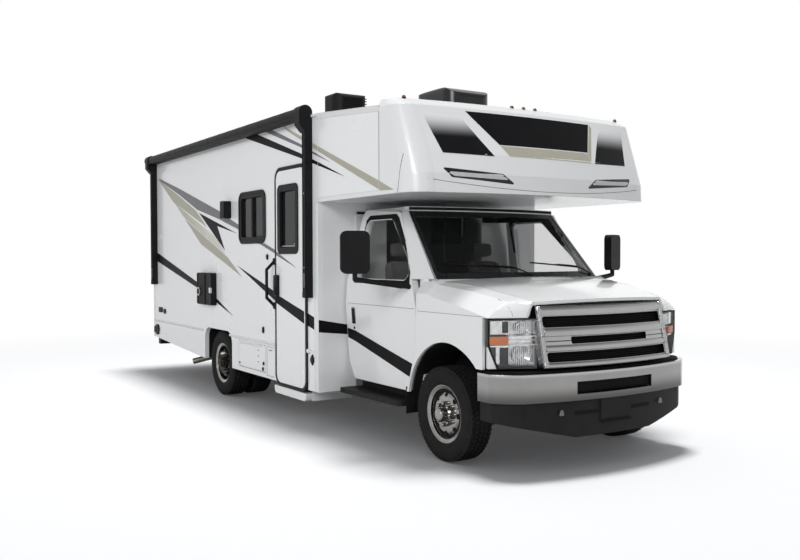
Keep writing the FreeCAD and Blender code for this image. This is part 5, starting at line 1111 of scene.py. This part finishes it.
class MOTORHOME_OT_cab(MotorhomeOperator, bpy.types.Operator):
    """Add seals, handles, wipers, aerial, mirrors, linings and arch liners to the cab"""
    bl_idname = "motorhome.cab"
    bl_label = "Cab trim"

    def build(self, context):
        for side, sign in SIDES:
            self.door_trim(side, sign, "cab_door_" + side, Y * -sign)
        self.screen_trim()
        self.linings()
        self.seals()
        self.liners()

    def door_trim(self, side, sign, door, cast):
        make("door_pull_frame_" + side, "chrome",
             (drape, soft(1.447, 1.513, 0.978, 1.126, 0.014), door, cast, 0.004, 0.03),
             body=door, slot="chrome")
        make("door_pull_" + side, "black_plastic",
             (drape, soft(1.456, 1.504, 0.990, 1.114, 0.010), door, cast, 0.006, 0.03),
             (drape, soft(1.466, 1.492, 0.928, 0.952, 0.011), door, cast, 0.003, 0.02),
             body=door, slot="black_plastic")
        make("door_crease_" + side, "seam_shadow",
             (drape, rectangle(1.395, 2.480, 1.1585, 1.1615), door, cast, 0.0010), body=door)
        sweep = math.radians(22)
        along = Vector((math.sin(sweep) * sign, -math.cos(sweep), 0))
        foot = (2.270 - 0.036 * math.cos(sweep), sign * (1.429 - 0.036 * math.sin(sweep)), 0)
        make("mirror_glass_" + side, "mirror_glass",
             *((prism, soft(-0.096, 0.096, low, high, 0.028), foot, along, Z, 0.0015)
               for low, high in ((1.548, 1.762), (1.464, 1.534))), body=door)

    def screen_trim(self):
        glass = surface("windshield")

        def on_glass(place, lift):
            hit = glass.ray_cast(Vector((4.0, *place)), -X)[0]
            return hit + Vector((0.75, 0, 0.66)) * lift

        side = [(0.868, 1.400), (0.830, 1.400), (0.768, 1.962), (0.802, 1.962)]
        make("screen_border", "black_gloss", *(
            (drape, outline, "windshield", -X, lift) for outline, lift in (
                ([(-0.868, 1.399), (0.868, 1.399), (0.860, 1.446), (-0.860, 1.446)], 0.0015),
                ([(-0.812, 1.925), (0.812, 1.925), (0.802, 1.962), (-0.802, 1.962)], 0.0015),
                (side, 0.0016), ([(-y, z) for y, z in side[::-1]], 0.0016))),
             slot="black_gloss")
        parts = []
        for pivot, elbow, tip in (((0.030, 1.415), (-0.150, 1.478), (-0.770, 1.515)),
                                  ((0.800, 1.415), (0.640, 1.478), (0.090, 1.520))):
            pivot, elbow, tip = Vector(pivot), Vector(elbow), Vector(tip)
            foot = on_glass(pivot, 0.006)
            arm = [on_glass(pivot.lerp(elbow, share), 0.022) for share in (0.35, 0.7, 1.0)]
            path = [foot, *arm, on_glass(elbow.lerp(tip, 0.45), 0.018)]
            blade = [on_glass(elbow.lerp(tip, share), 0.009)
                     for share in (-0.04, 0.25, 0.5, 0.75, 1.0)]
            parts += [(tube, bowed(path, 2), 0.0060, 8), (tube, bowed(blade, 2), 0.0065, 6),
                      (knob, foot - Vector((0.004, 0, 0.004)), (0.5, 0, 1), 0.016, 0.018, 12)]
        make("wipers", "black_plastic", *parts, slot="black_plastic")
        foot = surface("cab_shell").ray_cast(Vector((2.610, -0.800, 3)), -Z)[0]
        make("aerial", "black_plastic", (knob, foot - Z * 0.003, Z, 0.020, 0.026, 16),
             (tube, [foot + Z * 0.02, foot + Z * 0.30, foot + Z * 0.61], 0.0016, 6),
             slot="black_plastic")

    def linings(self):
        """Dark cloth on the doors, headliner, pillars and bulkhead, seen through the glass: real
        linings, made near black as painted shade inside the cab.
        """
        for side, sign in SIDES:
            door = "cab_door_" + side
            make("door_card_" + side, "cab_lining",
                 (drape, rectangle(1.460, 2.440, 0.560, 1.930), door, Y * sign, 0.0015, 0.03),
                 body=door)
        parts = [(drape, rectangle(1.345, 1.980, -0.780, 0.780), "cab_shell", Z, 0.002, 0.04,
                  1.6)]
        for sign in (-1, 1):
            parts += [(drape, rectangle(1.345, 2.250, 1.050, 1.900), "cab_shell", Y * sign, 0.002,
                       0.025, 0.0),
                      (prism, rectangle(sign * 0.72 - 0.150, sign * 0.72 + 0.150, 0.900, 1.990),
                       (1.319, 0, 0), Y, Z, 0.006, 0.002)]
        make("cab_linings", "cab_lining", *parts,
             (slab, (1.319, -0.565, 1.962), (1.327, 0.565, 2.020), 0.002))

    def seals(self):
        """Black strips above the windshield and round the door windows, and painted fillets. The
        strip above the windshield is partly its seal and partly painted shade under the overcab.
        """
        # Black strip above the windshield: partly the seal, partly painted shade on the body under
        # the overcab
        make("screen_header_and_painted_shade", "rubber_seal",
             (drape, rectangle(-0.800, 0.800, 1.915, 2.060), "cab_shell", -X, 0.0012, 0.012))
        border = [(1.470, 1.345), (1.500, 1.905), (1.550, 1.944), (1.990, 1.944), (2.050, 1.905),
                  (2.310, 1.590), (2.350, 1.530), (2.386, 1.345)]
        for side, sign in SIDES:
            door = "cab_door_" + side
            make("door_window_seal_" + side, "rubber_seal",
                 (drape, border, door, Y * -sign, 0.0012, 0.009), body=door)
        make("fender_fillets", "cab_paint",
             (prism, [(2.447, 1.240), (2.540, 1.240), (2.610, 1.345), (2.560, 1.400),
                      (2.447, 1.425)], (0, -0.918, 0), X, Z, 0.010, 0.003), (mirrored,))

    def liners(self):
        """Black liners in the wheel arches and the flaps behind the front wheels."""

        def arc(radius, low, high):
            return [(ARCH_X + radius * math.cos(angle), ARCH_Z + radius * math.sin(angle))
                    for angle in (math.radians(low + (high - low) * step / 30)
                                  for step in range(31))]

        def arch(grow, low_z=0.383):
            """The rear opening's outline, larger all round by grow."""
            x_low, x_high, top, corner = -1.6345 - grow, -0.7695 + grow, 0.7535 + grow, 0.140
            return rounded([(x_low, low_z), (x_low, top, corner + grow),
                            (x_high, top, corner + grow), (x_high, low_z)])

        make("arch_liners", "rubber_seal",
             *((prism, arc(0.5085, low, high) + arc(0.5035, low, high)[::-1], (0, -0.600, 0), X,
                Z, reach) for low, high, reach in ((-4, 128, 0.372), (128, 184, 0.366))),
             (prism, arc(0.504, 22, 158), (0, -0.596, 0), X, Z, 0.004),
             (prism, arch(0) + arch(0.0055)[::-1], (0, -0.660, 0), X, Z, 0.600),
             (prism, arch(0, 0.570), (0, -0.655, 0), X, Z, 0.005),
             (slab, (2.344, -0.998, 0.300), (2.352, -0.780, 0.520), 0.003),
             (mirrored,))


def grille_x(y, z):
    """Face of the bowed and leaning grille."""
    return (GRILLE_X + GRILLE_LEAN * (z - GRILLE_FOOT)
            + GRILLE_BOW * (1 - (y / GRILLE_HALF) ** 2))


def grille_run(half, z, behind, steps=20):
    """Path across the grille at one height, so far behind its face."""
    return [(grille_x(y, z) - behind, y, z)
            for y in (half * (2 * step / steps - 1) for step in range(steps + 1))]


def grille_bar(shape, half, *edges):
    """Solid bar across the grille; edges are (height, depth behind the face) round its section."""
    rows = [[shape.verts.new(point) for point in loop]
            for loop in zip(*(grille_run(half, z, behind) for z, behind in edges))]
    bands(shape, rows, through=False)
    shape.faces.new(rows[0])
    shape.faces.new(rows[-1][::-1])


def face_box(shape, s_low, s_high, z_low, z_high, back, front, bevel=0.002):
    """Block behind the lens: s runs outward along the lens, depths are from its face."""
    prism(shape, rectangle(s_low, s_high, z_low, z_high), LENS_CORNER + LENS_INWARD * back,
          LENS_ALONG, Z, back - front, bevel)


class MOTORHOME_OT_front(MotorhomeOperator, bpy.types.Operator):
    """Add the grille mesh, bumper pad, headlamp optics and valance details"""
    bl_idname = "motorhome.front"
    bl_label = "Front end"

    def build(self, context):
        self.grille()
        self.headlamps()
        self.bumper()
        make("fender_seams", "seam_shadow",
             (tube, bowed([(3.315, -0.823, 1.2675), (3.337, -0.821, 1.2615),
                           (3.415, -0.823, 1.2285), (3.451, -0.815, 1.1945),
                           (3.472, -0.815, 1.1500)], 1), 0.0022, 6),
             (drape, rectangle(2.520, 3.372, 1.1450, 1.1478), "front_fenders", Y, 0.0006),
             (mirrored,))

    def grille(self):
        """Rods and a backing behind the three slots, with rounded bars between them."""
        pitch = 0.0155
        rods = [(row, "rubber_seal", int((high - low) / pitch), (GRILLE_LEAN * pitch, 0, pitch),
                 tube, grille_run(half - 0.006, low + 0.006, 0.034), 0.0042, 6)
                for half, low, high in ((0.612, 0.822, 0.888), (0.395, 0.946, 0.993),
                                        (0.612, 1.068, 1.144))]
        make("grille_mesh", "rubber_seal", *rods,
             (grille_bar, 0.625, (0.790, 0.064), (1.205, 0.064), (1.205, 0.070), (0.790, 0.070)),
             slot="black_plastic")
        bars = [(grille_bar, half, (low, 0.003), (low + ease, -proud * 0.75),
                 ((low + high) / 2, -proud), (high - ease, -proud * 0.75), (high, 0.003))
                for low, high, proud, half, ease in (
                    (1.148, 1.2205, 0.016, 0.6495, 0.020), (0.997, 1.063, 0.011, 0.613, 0.008),
                    (0.892, 0.941, 0.011, 0.613, 0.008), (0.7815, 0.817, 0.014, 0.6495, 0.006))]
        bars += [(tube, [(grille_x(0.63, h) + 0.002, y, h) for h in (z, z + 0.1115)], 0.018, 12,
                  0.8) for z in (0.785, 0.893, 0.998, 1.105) for y in (0.632, -0.632)]
        make("grille_bars", "chrome", *bars, slot="chrome", smooth=50)
        make("grille_lines", "rubber_seal",
             *((tube, [(grille_x(y, 0.9695) + 0.0115, y, 0.9695) for y in ends], 0.0022, 6)
               for ends in ((0.400, 0.505), (0.505, 0.610))), (mirrored,),
             (tube, grille_run(0.645, 1.2235, -0.004), 0.0035, 6))

    def lens(self, shape):
        plan = [(3.352, 0.652), (3.549, 0.652), (3.412, 0.962), (3.398, 0.980), (3.372, 0.985),
                (3.352, 0.985)]
        prism(shape, plan, (0, 0, 0.773), X, Y, 0.358)
        bmesh.ops.bisect_plane(shape, geom=shape.verts[:] + shape.edges[:] + shape.faces[:],
                               plane_co=(0, 0.986, 0.949), plane_no=(0, 0.932, -0.373),
                               clear_outer=True)
        bmesh.ops.holes_fill(shape, edges=shape.edges[:])

    def bowl(self, shape, s, z, radius):
        """Round reflector that looks forward, with its bulb."""
        centre = LENS_CORNER + LENS_ALONG * s + LENS_INWARD * 0.066 + Z * z
        facing = Vector((0.97, 0.243, 0))
        turned(shape, [(0.0, radius * 0.2), (0.0, radius * 0.3), (0.040, radius),
                       (0.043, radius), (0.041, radius * 1.06), (-0.004, radius * 0.35)],
               centre, facing, 28)
        knob(shape, centre, facing, radius * 0.28, radius * 0.5, 14)

    def headlamps(self):
        """Clear outer lens over a bright reflector with an amber corner lamp."""
        make("headlamp_corners", "cab_paint",
             (prism, [(0.300, 0.7745), (0.364, 0.7745), (0.364, 0.930)],
              LENS_CORNER + LENS_INWARD * 0.056, LENS_ALONG, Z, 0.054, 0.004), (mirrored,))
        lens = make("headlamp_lenses", "lamp_lens", (self.lens,), (mirrored,), slot="headlamp")
        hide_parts("headlamps")
        make("headlamp_reflectors", "lamp_reflector",
             (face_box, 0.012, 0.352, 1.012, 1.122, 0.080, 0.062),
             (face_box, 0.012, 0.205, 0.945, 1.012, 0.080, 0.050),
             (face_box, 0.012, 0.290, 0.785, 0.945, 0.080, 0.066),
             (face_box, 0.255, 0.345, 1.020, 1.118, 0.050, 0.016, 0.006),
             (face_box, 0.215, 0.345, 0.930, 0.942, 0.040, 0.012, 0.002),
             (face_box, 0.010, 0.200, 1.004, 1.010, 0.060, 0.010, 0.001),
             (face_box, 0.010, 0.200, 0.975, 0.980, 0.060, 0.016, 0.001),
             (face_box, 0.010, 0.200, 0.940, 0.946, 0.060, 0.010, 0.001),
             (self.bowl, 0.110, 1.064, 0.050), (self.bowl, 0.112, 0.866, 0.068),
             *((row, "lamp_reflector", count, LENS_ALONG * 0.0145, face_box, 0.020, 0.024, low,
                high, 0.020, 0.012, 0.001)
               for low, high, count in ((1.022, 1.112, 14), (0.792, 0.932, 13))),
             (mirrored,), slot="chrome")
        make("headlamp_shrouds", "dash_plastic",
             (face_box, 0.206, 0.250, 1.030, 1.110, 0.050, 0.020, 0.004),
             (face_box, 0.200, 0.262, 0.800, 0.920, 0.064, 0.050, 0.004), (mirrored,))
        make("corner_lamps", "amber_lens",
             (face_box, 0.212, 0.350, 0.946, 1.004, 0.046, 0.006, 0.003), (mirrored,),
             slot="amber_lens")
        make("headlamp_borders", "rubber_seal",
             (face_box, 0.001, 0.363, 1.124, 1.1295, 0.100, 0.0005, 0.001),
             (face_box, 0.001, 0.288, 0.7745, 0.779, 0.100, 0.0005, 0.001),
             (face_box, 0.358, 0.365, 0.950, 1.128, 0.060, 0.0005, 0.001),
             (prism, [(0.286, 0.775), (0.294, 0.775), (0.366, 0.951), (0.358, 0.951)],
              LENS_CORNER + LENS_INWARD * 0.060, LENS_ALONG, Z, 0.0595), (mirrored,))

    def bumper(self):
        front = [(3.330, 0.962), (3.425, 0.962), (3.474, 0.930), (3.562, 0.802), (3.634, 0.420),
                 (3.662, 0)]
        make("bumper_pads", "rubber_seal",
             (slab, (3.560, -0.386, 0.586), (3.660, 0.386, 0.670), 0.004),
             (prism, [(x, -y) for x, y in front] + front[-2::-1], (0, 0, 0.735), X, Y, 0.020,
              0.004), slot="black_plastic")
        make("valance_slots", "rubber_seal",
             *((drape, soft(*box), "front_valance", -X, lift) for box, lift in (
                 ((-0.390, -0.170, 0.428, 0.456, 0.010), 0.002),
                 ((0.170, 0.390, 0.428, 0.456, 0.010), 0.002),
                 ((-0.150, 0.150, 0.356, 0.372, 0.006), 0.010))))
        make("tow_eyes", "exhaust_steel",
             *((prism, rounded([(y - 0.024, 0.434), (y + 0.024, 0.434), (y + 0.010, 0.476),
                                (y - 0.010, 0.476)], 0.006), (3.655, 0, 0), Y, Z, 0.008, 0.002)
               for y in (-0.515, 0.515)))


class MOTORHOME_OT_cabin(MotorhomeOperator, bpy.types.Operator):
    """Model the cab seats as padded cushions and dress the steering wheel and dash"""
    bl_idname = "motorhome.cabin"
    bl_label = "Cabin"

    def build(self, context):
        self.seats()
        self.dash()

    def pillow(self, shape, size):
        """Crowned cushion: a box drawn into soft sides, with its corners pulled in."""
        made = bmesh.ops.create_cube(shape, size=2.0)["verts"]
        edges = list({edge for vert in made for edge in vert.link_edges})
        bmesh.ops.subdivide_edges(shape, edges=edges, cuts=7, use_grid_fill=True)
        for vert in shape.verts:
            x, y, z = vert.co
            eased = [math.copysign(abs(c) ** 0.9, c) for c in (x, y, z)]
            pull = 1 - 0.10 * (abs(x) * abs(y)) ** 3 - 0.07 * abs(z) ** 2 * max(abs(x), abs(y)) ** 6
            bulge = 1 + 0.15 * (1 - eased[0] ** 2) * (1 - eased[1] ** 2) if abs(z) > 0.2 else 1
            vert.co = (eased[0] * size[0] * pull, eased[1] * size[1] * pull,
                       eased[2] * size[2] * bulge)

    def swollen(self, mesh, seam, hold=0.024):
        """Pad blown up as cloth under pressure, stitched down along two seams."""
        scene = bpy.context.scene
        pad = bpy.data.objects.new("pad", mesh)
        scene.collection.objects.link(pad)

        def evaluated():
            return bpy.data.meshes.new_from_object(
                pad.evaluated_get(bpy.context.evaluated_depsgraph_get()))

        even = pad.modifiers.new("even", "REMESH")
        even.mode = "VOXEL"
        even.voxel_size = 0.008
        pad.data = evaluated()
        pad.modifiers.clear()
        at_rest = [vert.co.copy() for vert in pad.data.vertices]
        stitched = pad.vertex_groups.new(name="stitched")
        stitched.add([index for index, place in enumerate(at_rest)
                      if place.z > 0 and abs(abs(place.y) - seam) < 0.0045], 1.0, "REPLACE")
        cloth = pad.modifiers.new("cloth", "CLOTH")
        cloth.settings.vertex_group_mass = "stitched"
        cloth.settings.use_pressure = True
        cloth.settings.uniform_pressure_force = 4.0
        cloth.settings.effector_weights.gravity = 0.0
        cloth.collision_settings.use_collision = False
        for number in range(1, 21):
            scene.frame_set(number)
        swelled = evaluated()
        for vert, before in zip(swelled.vertices, at_rest):
            move = vert.co - before
            if move.length > hold:
                vert.co = before + move.normalized() * hold
        scene.frame_set(1)
        bpy.data.objects.remove(pad)
        return swelled

    def seats(self):
        for part, (x, y, z), size, seam, turn in (
                ("cushion", (1.725, 0.47, 0.992), (0.218, 0.218, 0.044), 0.125, -0.04),
                ("backrest", (1.515, 0.47, 1.290), (0.252, 0.208, 0.038), 0.120,
                 -math.pi / 2 - 0.20),
                ("headrest", (1.450, 0.47, 1.640), (0.064, 0.110, 0.030), 0.5,
                 -math.pi / 2 - 0.12)):
            pad = self.swollen(meshed(built([(self.pillow, size)])), seam)
            for side, sign in SIDES[::-1]:
                mesh = pad.copy()
                mesh.transform(Matrix.Translation((x, sign * y, z))
                               @ Matrix.Rotation(turn, 4, "Y"))
                piece = add_mesh("seat_%s_%s" % (part, side), mesh, "seat_cloth",
                                 smooth=60)
                smooth = piece.modifiers.new("round", "SUBSURF")
                smooth.levels = smooth.render_levels = 1
                if part == "cushion" and side == "left":
                    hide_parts("cab_seats")

    def dash(self):
        make("dash_trim", "dash_plastic",
             (slab, (2.216, -0.70, 1.18), (2.236, 0.72, 1.245), 0.008),
             *((back_plate, y, 0.055, 1.195, 1.232, 0.008, 2.214, 0.006, 0.002)
               for y in (-0.62, -0.10, 0.16, 0.66)), slot="dash_plastic")
        tilt = math.radians(28)
        axis = Vector((math.cos(tilt), 0, -math.sin(tilt)))
        centre = Vector((2.110, 0.455, 1.230))
        rim = [(0.016 * math.sin(a), 0.195 + 0.016 * math.cos(a))
               for a in (2 * math.pi * k / 10 for k in range(10))]
        piece = make("steering_wheel_trim", "dash_plastic",
                     (turned, rim, centre, axis, 48),
                     *((tube, [centre + axis * 0.02 + arm * 0.03, centre + arm * 0.188], 0.014,
                        10, 0.6) for arm in (Y, -Y, axis.cross(Y) * -0.9)),
                     (turned, [(-0.020, 0.040), (-0.024, 0.062), (-0.010, 0.078), (0.030, 0.060),
                               (0.032, 0.020)], centre, axis, 24, False),
                     (tube, [centre + axis * 0.03, centre + axis * 0.30], 0.034, 16),
                     slot="dash_plastic")
        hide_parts("steering_wheel")


class MOTORHOME_OT_roof(MotorhomeOperator, bpy.types.Operator):
    """Add the clearance lamps and the grilles of the roof units"""
    bl_idname = "motorhome.roof"
    bl_label = "Roof trim"

    def build(self, context):
        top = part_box("marker_lamps")[1].z
        height = self.sizes.lens_height
        lamps = ((2.558, -1.150), (2.628, -0.126), (2.628, 0), (2.628, 0.126), (2.558, 1.150))
        make("clearance_lamp_bases", "black_plastic",
             *((knob, (x, y, top - 0.024), Z, 0.0185, 0.010, 20) for x, y in lamps),
             slot="black_plastic")
        piece = make("clearance_lamps", "roof_amber",
                     *((knob, (x, y, top - height), Z, 0.0155, height - 0.0005, 20)
                       for x, y in lamps), slot="amber_lens")
        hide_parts("marker_lamps")
        make("roof_louvres", "black_plastic",
             (row, "black_plastic", 6, (0.024, 0, 0.001), slab, (1.300, -0.205, 3.010),
              (1.312, 0.205, 3.018), 0.003),
             (row, "black_plastic", 7, (0, 0, 0.024), slab, (1.088, -0.900, 2.925),
              (1.095, -0.630, 2.934), 0.002), slot="black_plastic")


class MOTORHOME_OT_rear(MotorhomeOperator, bpy.types.Operator):
    """Add lenses, rear clearance lamps and the plate holder"""
    bl_idname = "motorhome.rear"
    bl_label = "Rear trim"

    def build(self, context):
        lamp, wall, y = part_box("tail_lamps")[0].x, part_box("house_wall_rear")[0].x, 1.070
        on_lamp = lamp + 0.001
        make("tail_lenses", "red_lens",
             *((back_plate, y, 0.060, z, z + 0.038, 0.010, on_lamp, 0.005, 0.002)
               for z in (0.945 + step * 0.045 for step in range(5))), (mirrored,),
             *((back_plate, place, 0.035, 2.790, 2.815, 0.008, wall, 0.016, 0.004)
               for place in (-1.15, -0.15, 0, 0.15, 1.15)), slot="red_lens")
        make("reversing_lenses", "white_lens",
             (back_plate, y, 0.060, 0.872, 0.930, 0.008, on_lamp, 0.004, 0.001), (mirrored,))
        make("tail_bezels", "black_plastic",
             (ring, soft(-y - 0.085, -y + 0.085, 0.850, 1.190, 0.022),
              soft(-y - 0.068, -y + 0.068, 0.867, 1.173, 0.014), (lamp + 0.026, 0, 0), -Y, Z,
              0.020), (mirrored,),
             (ring, soft(-0.165, 0.165, 0.790, 0.960, 0.010),
              soft(-0.150, 0.150, 0.805, 0.945, 0.006), (wall, 0, 0), -Y, Z, 0.010),
             slot="black_plastic")


def background_rays(web):
    """One for rays that show the background: to the camera, off metal and through glass."""
    path = web.add("ShaderNodeLightPath").outputs
    total = path["Is Camera Ray"]
    for label in ("Is Glossy Ray", "Is Transmission Ray"):
        total = web.math("MAXIMUM", total, path[label])
    return total


class MOTORHOME_OT_stage(MotorhomeOperator, bpy.types.Operator):
    """Set the floor, the lamps, the sky and the camera"""
    bl_idname = "motorhome.stage"
    bl_label = "Stage"

    def build(self, context):
        scene = context.scene
        stage = scene.motorhome_stage
        scene.view_settings.view_transform = "Standard"
        ground = self.floor(scene, stage)
        self.sky(scene)
        self.lamps(scene, stage, ground)
        self.camera(scene, stage)

    def floor(self, scene, stage):
        """Floor that shows white and fades into the white background far out."""
        material, web, shader = new_material("studio_floor")
        seen = background_rays(web)
        web.fill(shader, {
            "Roughness": 0.9, "Specular IOR Level": 0.0,
            "Base Color": web.mix(seen, (*stage.floor, 1), (0.97, 0.97, 0.98, 1)),
            "Emission Strength": web.math("MULTIPLY", seen, 0.045),
            "Emission Color": (0.97, 0.98, 1.0, 1)})
        away = web.shade("VectorMath", "Value", {0: web.place()}, operation="LENGTH")
        far = web.span(away, 5.0, 11.0, kind="SMOOTHSTEP")
        mix = web.shade("MixShader", "Shader", {
            "Fac": web.math("MULTIPLY", far, seen), 1: shader.outputs["BSDF"],
            2: web.shade("Emission", "Emission")})
        web.fill(web.nodes["Material Output"], {"Surface": mix})
        ground = bmesh.new()
        bmesh.ops.create_circle(ground, cap_ends=True, segments=96, radius=60)
        mesh = meshed(ground, "floor")
        mesh.materials.append(material)
        item = bpy.data.objects.new("floor", mesh)
        scene.collection.objects.link(item)
        return item

    def sky(self, scene):
        world = scene.world = bpy.data.worlds.new("studio")
        world.use_nodes = True
        web = Web(world.node_tree)
        web.nodes.clear()
        lit = web.shade("Background", "Background", {"Color": (0.95, 0.97, 1.0, 1),
                                                     "Strength": 0.30})
        height = web.shade("SeparateXYZ", "Z", {
            0: web.add("ShaderNodeTexCoord").outputs["Generated"]})
        shown = web.shade("Background", "Background", {
            "Color": (1, 1, 1, 1), "Strength": web.span(height, 0.32, 0.80, 1.0, 0.30)})
        mix = web.shade("MixShader", "Shader", {"Fac": background_rays(web), 1: lit, 2: shown})
        web.add("ShaderNodeOutputWorld", {"Surface": mix})

    def lamps(self, scene, stage, ground):
        """A large lamp far overhead, and one in front of the near side that spares the floor."""
        for name, place, aim, power in (
                ("overhead", (-0.2, 1.0, 26.0), (0.2, 0, 1.0), stage.lamp_power),
                ("front_side", (9.0, -12.0, 7.0), (1.0, 0, 1.2), stage.lamp_power * 0.19)):
            lamp = bpy.data.lights.new(name, "AREA")
            lamp.energy = power
            lamp.size = 5.0
            item = bpy.data.objects.new(name, lamp)
            item.location = place
            item.rotation_euler = (Vector(aim) - Vector(place)).to_track_quat("-Z", "Y").to_euler()
            scene.collection.objects.link(item)
        spared = bpy.data.collections.new("floor_is_spared")
        item.light_linking.receiver_collection = spared
        spared.objects.link(ground)
        spared.collection_objects[0].light_linking.link_state = "EXCLUDE"

    def camera(self, scene, stage):
        data = bpy.data.cameras.new("camera")
        data.sensor_width = 36.0
        data.lens = stage.lens
        data.clip_end = 200
        item = bpy.data.objects.new("camera", data)
        heading, dip, roll = stage.heading, stage.dip, stage.roll
        forward = Vector((math.cos(dip) * math.cos(heading), math.cos(dip) * math.sin(heading),
                          -math.sin(dip)))
        right = Vector((math.sin(heading), -math.cos(heading), 0))
        right = right * math.cos(roll) + forward.cross(right) * math.sin(roll)
        turn = Matrix((right, right.cross(forward), -forward)).transposed()
        item.matrix_world = Matrix.Translation(Vector(stage.camera)) @ turn.to_4x4()
        scene.collection.objects.link(item)
        scene.camera = item


class MOTORHOME_PT_panel(bpy.types.Panel):
    """Sizes, colours and the steps that dress the motorhome"""
    bl_idname = "MOTORHOME_PT_panel"
    bl_label = "Motorhome"
    bl_space_type = "VIEW_3D"
    bl_region_type = "UI"
    bl_category = "Motorhome"

    def draw(self, context):
        for group in (context.scene.motorhome_colours, context.scene.motorhome_sizes,
                      context.scene.motorhome_stage):
            box = self.layout.box()
            for name in group.__annotations__:
                box.prop(group, name)
        column = self.layout.column(align=True)
        for step in STEPS:
            column.operator(step.bl_idname, text=step.bl_label)


STEPS = (MOTORHOME_OT_trees, MOTORHOME_OT_finishes, MOTORHOME_OT_tyres, MOTORHOME_OT_wheels,
         MOTORHOME_OT_side_graphics, MOTORHOME_OT_cap, MOTORHOME_OT_house_trim, MOTORHOME_OT_entry,
         MOTORHOME_OT_windows, MOTORHOME_OT_awning, MOTORHOME_OT_cab, MOTORHOME_OT_front,
         MOTORHOME_OT_cabin, MOTORHOME_OT_roof, MOTORHOME_OT_rear, MOTORHOME_OT_stage)
GROUPS = {"motorhome_colours": MotorhomeColours, "motorhome_sizes": MotorhomeSizes,
          "motorhome_stage": MotorhomeStage}


def register():
    for group in GROUPS.values():
        bpy.utils.register_class(group)
    for name, group in GROUPS.items():
        setattr(bpy.types.Scene, name, PointerProperty(type=group))
    for step in STEPS + (MOTORHOME_PT_panel,):
        bpy.utils.register_class(step)


def unregister():
    for step in (MOTORHOME_PT_panel,) + STEPS[::-1]:
        bpy.utils.unregister_class(step)
    for name in GROUPS:
        delattr(bpy.types.Scene, name)
    for group in reversed(list(GROUPS.values())):
        bpy.utils.unregister_class(group)


def main():
    register()
    for step in STEPS:
        group, name = step.bl_idname.split(".")
        getattr(getattr(bpy.ops, group), name)()


if __name__ == "__main__":
    main()
